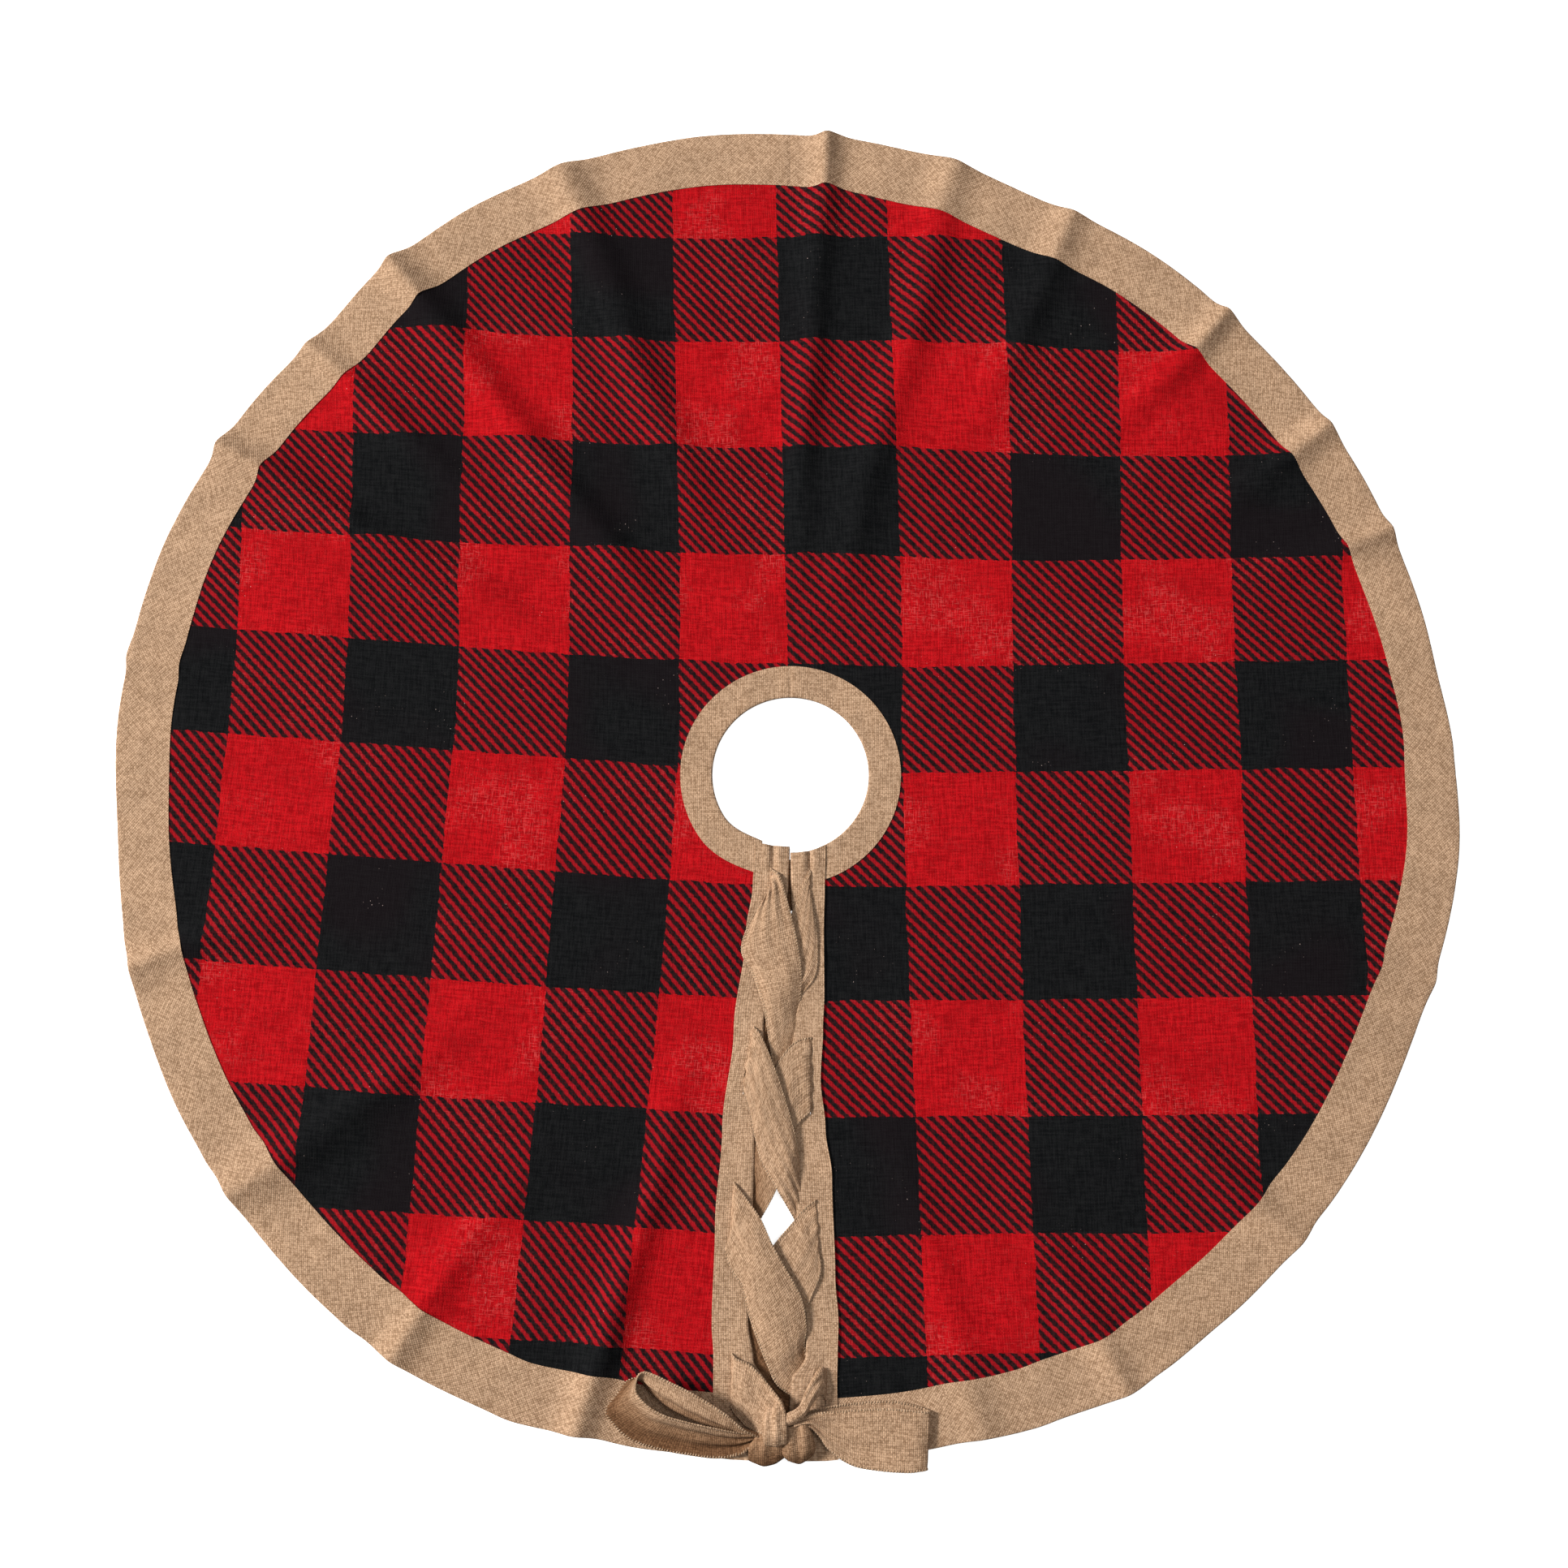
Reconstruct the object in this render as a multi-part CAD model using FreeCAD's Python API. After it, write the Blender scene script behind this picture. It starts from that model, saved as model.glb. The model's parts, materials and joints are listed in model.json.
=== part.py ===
import FreeCAD, Part
import math
import os
from FreeCAD import Vector

# Round tree skirt, laid flat, that closes round a trunk with one long ribbon laced
# through two slit plackets and tied in a bow over the front hem.
#
# Frame: millimetres. The origin is the centre of the trunk opening at floor level,
# +Z is up, the slit runs from the trunk opening towards -Y, and +X is to the right for
# someone who faces the slit from outside the rim.
#
# Bodies: the back half lies still. The two front quarters fold up and back about the
# line y = 0, like doors, once the ribbon is out. Cloth is cut along that line.

# Driving sizes
OUTER_RADIUS = 609.6            # 48 in across
HEM_WIDTH = 50.0
TRUNK_RADIUS = 71.0
NECK_BAND_WIDTH = 29.0
PLACKET_WIDTH = 31.0
LEFT_LEAN = math.tan(math.radians(5.0))     # how far the slit's left edge leans out
RIGHT_LEAN = math.tan(math.radians(1.7))
SLIT_GAP = 2.0                  # between the plackets at the trunk opening
SLIT_CENTRE_X = -0.6
FRONT_RIM_DROP = 12.0           # the rim is cut this much shallower at the slit

# Layers, from the floor up
LINING_TOP = 1.0
CLOTH_TOP = 2.6
BAND_TOP = 3.2
PLACKET_BOTTOM = 1.6
PLACKET_TOP = 4.2
FOLD_GAP = 0.15                 # each side of the fold line
NEIGHBOUR_GAP = 0.3             # between ribbon pieces that would otherwise touch

# Buttonhole slits, by their distance in front of the trunk's centre
LEFT_SLITS = (99.0, 252.0, 390.0, 530.0)
RIGHT_SLITS = (99.0, 265.0, 402.0, 530.0)
SLIT_LENGTH = 50.0
SLIT_WIDTH = 5.0

# Ribbon
RIBBON_THICKNESS = 1.0
RIBBON_UNDER = 0.3              # underside of the stretches below the plackets
RIBBON_LOWER = 4.5              # underside of the stretches that come from the right
RIBBON_UPPER = 5.8              # underside of the stretches that come from the left
GATHERED_HALF_WIDTH = 17.0      # where the ribbon is bunched in a slit
SPREAD_HALF_WIDTH = 17.0        # where it opens out between slits
TAB_HALF_THICKNESS = 0.6
DROP_HALF_WIDTH = 3.0           # where it dives between the plackets
DROP_MARGIN = 1.5
DROP_SHARE = 0.68               # how far along a run it dives
START_INSET = 1.0               # the first stretch stops this far inside its two slits

# Bow
KNOT_LOW = Vector(-23.3, -580.0, 4.5)
KNOT_HIGH = Vector(1.8, -543.0, 27.0)
KNOT_ROUNDING = 7.0
KNOT_ENTRY_FRONT = 12.0         # how far a strand reaches to the front of the knot's middle
KNOT_ENTRY_BACK = 9.0
LOOP_SKIN = 1.5
BOW_FLOOR = 7.2                 # underside of the loops, clear of the ribbon below
LOOP_ROOT_HEIGHT = 11.0
LEFT_LOOP_END = -160.0
LEFT_LOOP_HEIGHT = 20.0
RIGHT_LOOP_END = 120.0
RIGHT_LOOP_HEIGHT = 10.0
TAIL_BOTTOM = 4.6
TAIL_TOP = 13.0
TAIL_ROOT_HALF_WIDTH = 6.0
TAIL_ROUND = 8.0                # how far the rounded end reaches past the tail's widest place

FAR = 2.0 * OUTER_RADIUS


def save(name, shape):
    """Write one node, after checking that it is made of closed solids."""
    solids = Part.makeCompound(shape.Solids)
    assert shape.Solids and solids.isValid(), name
    solids.exportStep("parts/" + name + ".step")


def prism(points, bottom, top):
    """A straight-sided plate over a polygon of (x, y) points."""
    corners = [Vector(x, y, bottom) for x, y in points]
    face = Part.Face(Part.makePolygon(corners + corners[:1]))
    return face.extrude(Vector(0, 0, top - bottom))


def disc(radius, front_drop, bottom, top):
    """A disc whose rim comes in by front_drop where it meets the slit."""
    diagonal = radius * math.sqrt(0.5)
    left, right = Vector(-radius, 0, bottom), Vector(radius, 0, bottom)
    front = Vector(0, front_drop - radius, bottom)
    rim = [
        Part.Arc(right, Vector(0, radius, bottom), left),
        Part.Arc(left, Vector(-diagonal, -diagonal, bottom), front),
        Part.Arc(front, Vector(diagonal, -diagonal, bottom), right),
    ]
    face = Part.Face(Part.Wire([arc.toShape() for arc in rim]))
    return face.extrude(Vector(0, 0, top - bottom))


def ring(inner, outer, bottom, top):
    """A flat ring. Only rims outside the neck band follow the shallower front."""
    shapes = []
    for radius in (inner, outer):
        front_drop = FRONT_RIM_DROP if radius > OUTER_RADIUS / 2 else 0.0
        shapes.append(disc(radius, front_drop, bottom, top))
    return shapes[1].cut(shapes[0])


def left_edge(y, inset=0.0):
    """The x of the slit's left edge, moved inset further left."""
    start = SLIT_CENTRE_X - SLIT_GAP / 2
    return start - (-y - TRUNK_RADIUS) * LEFT_LEAN - inset


def right_edge(y, inset=0.0):
    """The x of the slit's right edge, moved inset further right."""
    start = SLIT_CENTRE_X + SLIT_GAP / 2
    return start + (-y - TRUNK_RADIUS) * RIGHT_LEAN + inset


def quarter(edge, side, bottom, top):
    """The ground that one front quarter covers outside its placket."""
    far_x = side * FAR
    near, far = -FOLD_GAP, -FAR
    corners = [
        (far_x, near),
        (edge(near, PLACKET_WIDTH), near),
        (edge(far, PLACKET_WIDTH), far),
        (far_x, far),
    ]
    return prism(corners, bottom, top)


def back_ground(bottom, top, low_x=-FAR, high_x=FAR):
    """The ground behind the fold line, between two x values."""
    corners = [(low_x, FOLD_GAP), (high_x, FOLD_GAP), (high_x, FAR), (low_x, FAR)]
    return prism(corners, bottom, top)


def make_sheet(name, inner, outer, bottom, top):
    """One round layer, cut into the back half and the two front quarters."""
    layer = ring(inner, outer, bottom, top)
    save(name + "_back", layer.common(back_ground(bottom, top)))
    save(name + "_front_left", layer.common(quarter(left_edge, -1, bottom, top)))
    save(name + "_front_right", layer.common(quarter(right_edge, 1, bottom, top)))


def make_hem_band():
    """Four quarters, with seams at the back centre and at both sides."""
    inner = OUTER_RADIUS - HEM_WIDTH
    layer = ring(inner, OUTER_RADIUS, 0, BAND_TOP)
    save("hem_band_back_left", layer.common(back_ground(0, BAND_TOP, high_x=0)))
    save("hem_band_back_right", layer.common(back_ground(0, BAND_TOP, low_x=0)))
    left, right = quarter(left_edge, -1, 0, BAND_TOP), quarter(right_edge, 1, 0, BAND_TOP)
    save("hem_band_front_left", layer.common(left))
    save("hem_band_front_right", layer.common(right))


def slit_place(edge, distance):
    """The middle of the slit that lies this far in front of the trunk's centre."""
    return Vector(edge(-distance, PLACKET_WIDTH / 2), -distance, 0)


def slit_cutter(edge, lean, distance):
    """The buttonhole, along the placket."""
    bottom, height = PLACKET_BOTTOM - 1, PLACKET_TOP - PLACKET_BOTTOM + 2
    corner = Vector(-SLIT_WIDTH / 2, -SLIT_LENGTH / 2, bottom)
    hole = Part.makeBox(SLIT_WIDTH, SLIT_LENGTH, height, corner)
    hole.rotate(Vector(0, 0, 0), Vector(0, 0, 1), math.degrees(math.atan(lean)))
    hole.translate(slit_place(edge, distance))
    return hole


def make_placket(name, edge, lean, distances):
    """A folded strip along one edge of the slit, from the trunk opening to the rim."""
    start, end = -FOLD_GAP, -FAR
    corners = [
        (edge(start), start),
        (edge(end), end),
        (edge(end, PLACKET_WIDTH), end),
        (edge(start, PLACKET_WIDTH), start),
    ]
    strip = prism(corners, PLACKET_BOTTOM, PLACKET_TOP)
    strip = strip.common(ring(TRUNK_RADIUS, OUTER_RADIUS, PLACKET_BOTTOM, PLACKET_TOP))
    for distance in distances:
        strip = strip.cut(slit_cutter(edge, lean, distance))
    save(name, strip)


def upright(x, y, half_x, half_y, top):
    """The ribbon where it passes up or down, from below the plackets to top."""
    corner = Vector(x - half_x, y - half_y, RIBBON_UNDER)
    return Part.makeBox(2 * half_x, 2 * half_y, top - RIBBON_UNDER, corner)


def spread_plate(start, half_start, end, half_end, bottom):
    """A stretch of ribbon that opens out between a slit, at start, and its end."""
    along = (end - start).normalize()
    across = Vector(-along.y, along.x, 0) * SPREAD_HALF_WIDTH
    middle = (start + end) * 0.5
    if across.y < 0:
        across = across * -1
    inward = 1 if end.x > start.x else -1
    corners = [
        (start.x, start.y + half_start),
        (middle.x + across.x, middle.y + across.y),
        (end.x + inward * half_end, end.y),
        (end.x - inward * half_end, end.y),
        (middle.x - across.x, middle.y - across.y),
        (start.x, start.y - half_start),
    ]
    return prism(corners, bottom, bottom + RIBBON_THICKNESS)


def under_plate(start, end, side):
    """The stretch below a placket, from the dive to just short of the next slit."""
    gap = side * (TAB_HALF_THICKNESS + NEIGHBOUR_GAP)
    corners = [
        (start.x - DROP_HALF_WIDTH, start.y),
        (start.x + DROP_HALF_WIDTH, start.y),
        (end.x - gap, end.y + side * GATHERED_HALF_WIDTH),
        (end.x - gap, end.y - side * GATHERED_HALF_WIDTH),
    ]
    return prism(corners, RIBBON_UNDER, RIBBON_UNDER + RIBBON_THICKNESS)


def make_run(name, start, end, end_edge, to_right):
    """Out of one slit, over its placket, down between the two and below the other."""
    bottom = RIBBON_UPPER if to_right else RIBBON_LOWER
    top = bottom + RIBBON_THICKNESS
    side = 1 if to_right else -1
    drop_y = start.y + DROP_SHARE * (end.y - start.y)
    drop_x = end_edge(drop_y) - side * (DROP_MARGIN + DROP_HALF_WIDTH)
    drop = Vector(drop_x, drop_y, 0)
    pieces = [
        upright(start.x, start.y, TAB_HALF_THICKNESS, GATHERED_HALF_WIDTH, top),
        spread_plate(start, GATHERED_HALF_WIDTH, drop, DROP_HALF_WIDTH, bottom),
        upright(drop.x, drop.y, DROP_HALF_WIDTH, TAB_HALF_THICKNESS, top),
        under_plate(drop, end, side),
    ]
    save(name, pieces[0].fuse(pieces[1:]).removeSplitter())


def make_lacing():
    """The two strands that zigzag down from the top slits to the knot."""
    left = [slit_place(left_edge, distance) for distance in LEFT_SLITS]
    right = [slit_place(right_edge, distance) for distance in RIGHT_SLITS]

    start = prism(
        [
            (left[0].x + START_INSET, left[0].y - GATHERED_HALF_WIDTH),
            (right[0].x - START_INSET, right[0].y - GATHERED_HALF_WIDTH),
            (right[0].x - START_INSET, right[0].y + GATHERED_HALF_WIDTH),
            (left[0].x + START_INSET, left[0].y + GATHERED_HALF_WIDTH),
        ],
        RIBBON_UNDER,
        RIBBON_UNDER + RIBBON_THICKNESS,
    )
    save("lace_start", start)

    for row in range(3):
        to_right = (row + 1, left[row], right[row + 1], right_edge, True)
        to_left = (row + 1, right[row], left[row + 1], left_edge, False)
        first, second = (to_right, to_left) if row % 2 == 0 else (to_left, to_right)
        for strand, (number, begin, end, edge, rightward) in (("a", first), ("b", second)):
            make_run("lace_{}{}".format(strand, number), begin, end, edge, rightward)

    knot_y = (KNOT_LOW.y + KNOT_HIGH.y) / 2
    for name, slit, knot_x in (("lace_a4", right[3], KNOT_HIGH.x), ("lace_b4", left[3], KNOT_LOW.x)):
        top = RIBBON_UPPER + RIBBON_THICKNESS
        clear = knot_x + math.copysign(NEIGHBOUR_GAP, slit.x - knot_x)
        corners = [
            (slit.x, slit.y + GATHERED_HALF_WIDTH),
            (slit.x, slit.y - GATHERED_HALF_WIDTH),
            (clear, knot_y - KNOT_ENTRY_FRONT),
            (clear, knot_y + KNOT_ENTRY_BACK),
        ]
        tab = upright(slit.x, slit.y, TAB_HALF_THICKNESS, GATHERED_HALF_WIDTH, top)
        save(name, tab.fuse(prism(corners, RIBBON_UPPER, top)).removeSplitter())


def make_knot():
    """The ribbon wound once round itself."""
    size = KNOT_HIGH - KNOT_LOW
    block = Part.makeBox(size.x, size.y, size.z, KNOT_LOW)
    save("bow_knot", block.makeFillet(KNOT_ROUNDING, block.Edges))


def loop_profile(near_x, far_x, near_height, far_height):
    """The side view of a flattened loop: narrow at the knot, round at its far end."""
    inward = 1 if far_x > near_x else -1
    turn = far_x - inward * far_height / 2
    middle = BOW_FLOOR + far_height / 2
    near_top = BOW_FLOOR + near_height
    far_top = BOW_FLOOR + far_height
    low_near, low_far = Vector(near_x, 0, BOW_FLOOR), Vector(turn, 0, BOW_FLOOR)
    high_near, high_far = Vector(near_x, 0, near_top), Vector(turn, 0, far_top)
    edges = [
        Part.LineSegment(low_near, low_far).toShape(),
        Part.Arc(low_far, Vector(far_x, 0, middle), high_far).toShape(),
        Part.LineSegment(high_far, high_near).toShape(),
        Part.LineSegment(high_near, low_near).toShape(),
    ]
    return Part.Face(Part.Wire(edges))


def make_loop(name, plan, near_x, far_x, near_height, far_height):
    """A bow loop: a band of ribbon that is open along Y, trimmed to its plan."""
    inward = 1 if far_x > near_x else -1
    outside = loop_profile(near_x, far_x, near_height, far_height)
    hollow = loop_profile(
        near_x + inward * 2 * LOOP_SKIN,
        far_x - inward * LOOP_SKIN,
        near_height - 2 * LOOP_SKIN,
        far_height - 2 * LOOP_SKIN,
    )
    hollow.translate(Vector(0, 0, LOOP_SKIN))
    depth = Vector(0, -FAR, 0)
    band = outside.extrude(depth).cut(hollow.extrude(depth))
    save(name, band.common(prism(plan, 0, 2 * KNOT_HIGH.z)))


def make_tail(name, low_x, high_x, end_y):
    """A short ribbon end, rounded, that comes out below the knot."""
    start_y = KNOT_LOW.y - NEIGHBOUR_GAP
    turn_y = end_y + TAIL_ROUND
    middle_x = (low_x + high_x) / 2
    points = [
        Vector(low_x, turn_y, TAIL_BOTTOM),
        Vector(middle_x - TAIL_ROOT_HALF_WIDTH, start_y, TAIL_BOTTOM),
        Vector(middle_x + TAIL_ROOT_HALF_WIDTH, start_y, TAIL_BOTTOM),
        Vector(high_x, turn_y, TAIL_BOTTOM),
    ]
    edges = [Part.LineSegment(a, b).toShape() for a, b in zip(points, points[1:])]
    edges.append(Part.Arc(points[3], Vector(middle_x, end_y, TAIL_BOTTOM), points[0]).toShape())
    face = Part.Face(Part.Wire(edges))
    save(name, face.extrude(Vector(0, 0, TAIL_TOP - TAIL_BOTTOM)))


def make_bow():
    """Knot, two loops and two short ends, lying over the front hem."""
    make_knot()
    left_near, right_near = KNOT_LOW.x - NEIGHBOUR_GAP, KNOT_HIGH.x + NEIGHBOUR_GAP
    left_plan = [
        (left_near, -573.0),
        (left_near, -552.0),
        (-60.0, -540.0),
        (-129.0, -519.0),
        (-161.0, -556.0),
        (-110.0, -584.0),
        (-66.0, -591.0),
    ]
    make_loop("bow_loop_left", left_plan, left_near, LEFT_LOOP_END, LOOP_ROOT_HEIGHT, LEFT_LOOP_HEIGHT)
    right_plan = [
        (right_near, -571.0),
        (right_near, -553.0),
        (60.0, -549.0),
        (121.0, -552.0),
        (118.0, -604.0),
        (76.0, -604.0),
        (44.0, -597.0),
        (31.0, -586.0),
    ]
    make_loop("bow_loop_right", right_plan, right_near, RIGHT_LOOP_END, LOOP_ROOT_HEIGHT, RIGHT_LOOP_HEIGHT)
    make_tail("bow_tail_left", -37.0, -6.5, -599.0)
    make_tail("bow_tail_right", -5.5, 20.0, -597.0)


os.makedirs("parts", exist_ok=True)
neck_outer = TRUNK_RADIUS + NECK_BAND_WIDTH
make_sheet("lining", neck_outer, OUTER_RADIUS - HEM_WIDTH, 0, LINING_TOP)
make_sheet("check_panel", neck_outer, OUTER_RADIUS - HEM_WIDTH, LINING_TOP, CLOTH_TOP)
make_sheet("neck_band", TRUNK_RADIUS, neck_outer, 0, BAND_TOP)
make_hem_band()
make_placket("placket_left", left_edge, -LEFT_LEAN, LEFT_SLITS)
make_placket("placket_right", right_edge, RIGHT_LEAN, RIGHT_SLITS)
make_lacing()
make_bow()
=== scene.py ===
"""Looks of a round tree skirt: check cloth, burlap bands and a laced burlap ribbon.

Lengths are in millimetres, in the part's own frame, until build_mesh() turns them into
metres. A direction on the cloth is an angle in degrees from the back (+Y), growing
towards +X, so the slit is at 180 on the right and at -180 on the left.
"""

import json
import math
import random

import bpy
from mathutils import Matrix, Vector, noise

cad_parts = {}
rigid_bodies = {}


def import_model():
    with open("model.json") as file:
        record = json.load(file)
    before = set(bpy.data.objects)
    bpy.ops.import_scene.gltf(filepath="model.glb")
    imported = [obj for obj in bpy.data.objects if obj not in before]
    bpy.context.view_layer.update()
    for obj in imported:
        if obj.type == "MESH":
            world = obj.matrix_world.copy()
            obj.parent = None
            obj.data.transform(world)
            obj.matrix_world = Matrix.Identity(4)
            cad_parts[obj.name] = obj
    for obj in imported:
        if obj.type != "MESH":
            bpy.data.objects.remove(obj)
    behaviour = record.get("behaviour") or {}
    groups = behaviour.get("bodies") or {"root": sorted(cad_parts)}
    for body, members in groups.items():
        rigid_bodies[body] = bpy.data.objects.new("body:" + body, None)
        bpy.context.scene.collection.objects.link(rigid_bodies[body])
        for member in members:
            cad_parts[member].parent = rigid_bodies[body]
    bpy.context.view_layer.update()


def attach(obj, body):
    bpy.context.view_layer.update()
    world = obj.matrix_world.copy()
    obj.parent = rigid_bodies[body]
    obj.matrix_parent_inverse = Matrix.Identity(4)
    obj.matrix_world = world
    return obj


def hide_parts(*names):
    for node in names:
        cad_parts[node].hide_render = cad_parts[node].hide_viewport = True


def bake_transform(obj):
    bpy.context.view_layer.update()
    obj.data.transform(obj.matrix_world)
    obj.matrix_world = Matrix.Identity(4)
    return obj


# Objects of the start-up file, if there are any
for leftover in list(bpy.data.objects):
    bpy.data.objects.remove(leftover)
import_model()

MM = 0.001
BACK, LEFT, RIGHT, LACE = "back_half", "front_left", "front_right", "lace"

# Cloth, from the floor up
TRUNK_RADIUS = 71.0
NECK_WIDTH = 28.8
BAND_THICKNESS = 0.7
BAND_LOW = 0.35                 # middle of a folded band's lower layer
BAND_HIGH = 2.85                # middle of its upper layer
BAND_COLUMNS = 10               # cells across each layer
PANEL_LEVEL = 1.9
PANEL_THICKNESS = 1.2
LINING_LEVEL = 0.35
LINING_THICKNESS = 0.6
LINING_RISE = 0.75              # of the lining's edge, between a band's layers
PANEL_STEP = 6.0                # between the points of the check and of the lining
PANEL_WIDTH = 460.0             # from the neck band to the hem
PANEL_TURN = 175.0              # from the back centre to a placket, in degrees
PANEL_INNER = 95.0              # radius at which it goes into the neck band
PANEL_OUTER = 560.0             # radius at which it goes into the hem
TUCK = 6.0                      # how far a sheet goes in between a band's two layers
SEAM_DEPTH = 0.5                # of the dents where two bands are joined
SEAM_WIDTH = 1.6
PLACKET_LOW = 1.95
PLACKET_HIGH = 3.85
PLACKET_TURN = (PLACKET_HIGH - PLACKET_LOW) / 2
CHECK = 102.3                   # one square of the check
CHECK_WEAVE = 1.4               # from thread to thread
BAND_WEAVE = 1.74
RIBBON_WEAVE = 1.80
LINING_WEAVE = 0.8
TWILL_LINES = 9.6               # black lines across one hatched square

BAND_LIGHT, BAND_DARK = (0.529, 0.344, 0.219, 1), (0.290, 0.173, 0.100, 1)
RIBBON_LIGHT, RIBBON_DARK = (0.540, 0.348, 0.219, 1), (0.277, 0.162, 0.092, 1)
THREAD_LIGHT, THREAD_DARK = (0.61, 0.43, 0.285, 1), (0.38, 0.25, 0.152, 1)
RED_LIGHT, RED_DARK = (0.490, 0.0066, 0.0105, 1), (0.265, 0.0024, 0.0046, 1)
RED_DEEP, RED_HATCHED = (0.27, 0.0035, 0.0055, 1), (0.215, 0.0075, 0.0135, 1)
BARE_THREAD, LINT = (0.62, 0.085, 0.080, 1), (0.55, 0.42, 0.38, 1)
BLACK_LIGHT, BLACK_DARK = (0.0112, 0.0114, 0.0120, 1), (0.0036, 0.0039, 0.0044, 1)
BLACK_WARM = (0.0092, 0.0058, 0.0072, 1)
COTTON_LIGHT, COTTON_DARK = (0.70, 0.62, 0.49, 1), (0.58, 0.50, 0.38, 1)
COTTON_PATCH = (0.54, 0.46, 0.34, 1)

# How far the rim stands from the trunk's centre, by direction
RIM = [
    (-180, 595), (-170, 600), (-160, 613), (-150, 618), (-135, 617), (-122, 617), (-112, 615),
    (-95, 608), (-84, 613), (-70, 615), (-57, 611), (-46, 606), (-39, 614), (-28, 620), (-10, 619),
    (3, 614), (12, 608), (24, 598), (34, 601), (48, 598), (66, 598), (80, 596), (88, 601),
    (97, 605), (113, 600), (132, 606), (144, 609), (153, 614), (161, 607), (170, 598), (180, 595),
]
# How wide the hem is, by direction
HEM_WIDTHS = [
    (-180, 52), (-150, 51), (-106, 49), (-96, 46), (-88, 49), (-50, 47), (-20, 49), (12, 53),
    (35, 51), (52, 49), (70, 45), (82, 42), (93, 47), (110, 49), (150, 52), (180, 50),
]
# How far the cloth is turned about the trunk, in degrees, and drawn in, by direction
TURN = [
    (-180, 5.4), (-135, 3.8), (-90, 4.3), (-45, 1.3), (0, -1.4), (45, 0.7), (90, -0.7),
    (135, -0.6), (180, -2.0),
]
DRAWN_IN = [(-180, 1.0), (-90, 1.0), (-45, 1.012), (0, 1.0), (45, 0.984), (90, 0.996), (180, 1.0)]

# The plackets' inner and outer edges, by distance in front of the trunk's centre
LEFT_EDGES = [
    (66, -1.4, -31.5), (100, -2.6, -34.0), (143, -10, -40), (229, -24.5, -50.5), (314, -32, -60.2),
    (398, -34, -66.2), (481, -37.3, -68.6), (510, -33, -67), (535, -20, -67), (600, -16, -67.5),
]
RIGHT_EDGES = [
    (66, 0.6, 31.5), (100, 0.8, 30.6), (143, 3.0, 29.7), (197, 8, 30), (229, 2.5, 28.7),
    (272, 0.5, 26.5), (314, 3.5, 30.6), (356, 2.0, 36.2), (440, 11, 38.7), (481, 13.5, 41.4),
    (508, 13.5, 40.5), (530, 0, 40), (600, -2, 41),
]
# Buttonholes: nearer end, farther end
LEFT_SLITS = [
    ((-15.8, -84), (-16.8, -116)),
    ((-32.5, -225), (-42, -282)),
    ((-48.5, -361), (-51.5, -418)),
    ((-50.8, -505), (-51.5, -552)),
]
RIGHT_SLITS = [
    ((17, -86), (17.2, -116)),
    ((17.4, -234), (17.4, -300)),
    ((21.8, -375), (23.8, -431)),
    ((29, -519), (30, -548)),
]
SLIT_OPENING = 0.2              # half its width where the ribbon fills it
PUFF_HEIGHT = 1.6               # of the placket where it is drawn up beside a slit
PUFF_LENGTH = 26.0
NECK_CREASE_DEPTH = 1.5         # of the creases from the trunk opening to the top slits

# Folds in the laid cloth: direction, half width, height, where it starts, how sharp its
# pucker is at the rim. They run outwards from the trunk.
FOLDS = [
    (-38, 18, 12.0, 120, 0.9), (-48, 13, 7.0, 330, 0.2), (-60, 16, 11.0, 210, 1.0),
    (-20, 20, 10.0, 200, 0.1), (3, 14, 8.0, 150, 1.0), (15, 18, 7.0, 110, 0.1), (27, 15, 7.0, 330, 0.3),
    (43, 13, 8.0, 380, 0.9), (57, 14, 8.0, 400, 0.7), (67, 12, 7.0, 420, 0.4),
    (108, 18, 6.5, 280, 0.4), (133, 19, 7.5, 330, 0.4), (152, 14, 5.0, 380, 0.3),
    (-80, 14, 5.0, 440, 0.6), (-106, 16, 5.6, 400, 0.5), (-127, 20, 8.0, 300, 0.5),
    (-146, 15, 6.5, 360, 0.4), (-162, 15, 11.0, 130, 0.1), (164, 16, 4.0, 220, 0.1),
]
FOLD_GROWTH = 190.0             # a fold rises to its height over this distance
SWELL_SIZE = 130.0              # of the broad swells between the folds
SWELL_HEIGHT = 4.0
PUCKER_RIM = 600.0              # puckers stand up in the last stretch before this radius
PUCKER_HEIGHT = 2.6
PUCKER_SHARPNESS = 2.6          # how much narrower than its fold a pucker is
KINK_WIDTH = 15.0               # of the rim, where a pucker reaches it
KINK_DEPTH = 3.4

RIBBON_WIDTH = 48.0
RIBBON_THICKNESS = 0.8
RIBBON_COLUMNS = 28             # cells across the ribbon
RUN_PLEATS = 4.0                # small pleats across a stretch of the lacing
LOOP_PLEATS = 2.6               # and across a loop of the bow
STRAND_COLUMNS = 30             # cells across a strand that is folded lengthwise
STRAND_CREASES = 2.6
STITCH_PITCH = 2.5
UNDER = 0.9                     # middle of the ribbon below the plackets
LOWEST = 0.45                   # middle of a ribbon that lies on the floor
PAST_SLIT = 3.2                 # how far a strand goes on under the cloth beyond its slit
OVER_RISE = 1.2                 # how much higher a strand lies where it crosses another
FOLDED_WIDTH = 26.0             # outer layer of a strand that is folded in two lengthwise
END_WIDTH = 34.0                # the same for the two ends, which are folded less


def curve_value(points, x):
    """A smooth curve through (x, value) points, flat beyond both ends."""
    if x <= points[0][0]:
        return points[0][1]
    for before, after in zip(points, points[1:]):
        if x <= after[0]:
            return mix(before[1], after[1], smooth_step(before[0], after[0], x))
    return points[-1][1]


def smooth_step(low, high, x):
    t = min(max((x - low) / (high - low), 0.0), 1.0)
    return t * t * (3 - 2 * t)


def mix(a, b, t):
    return a + (b - a) * t


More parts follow.
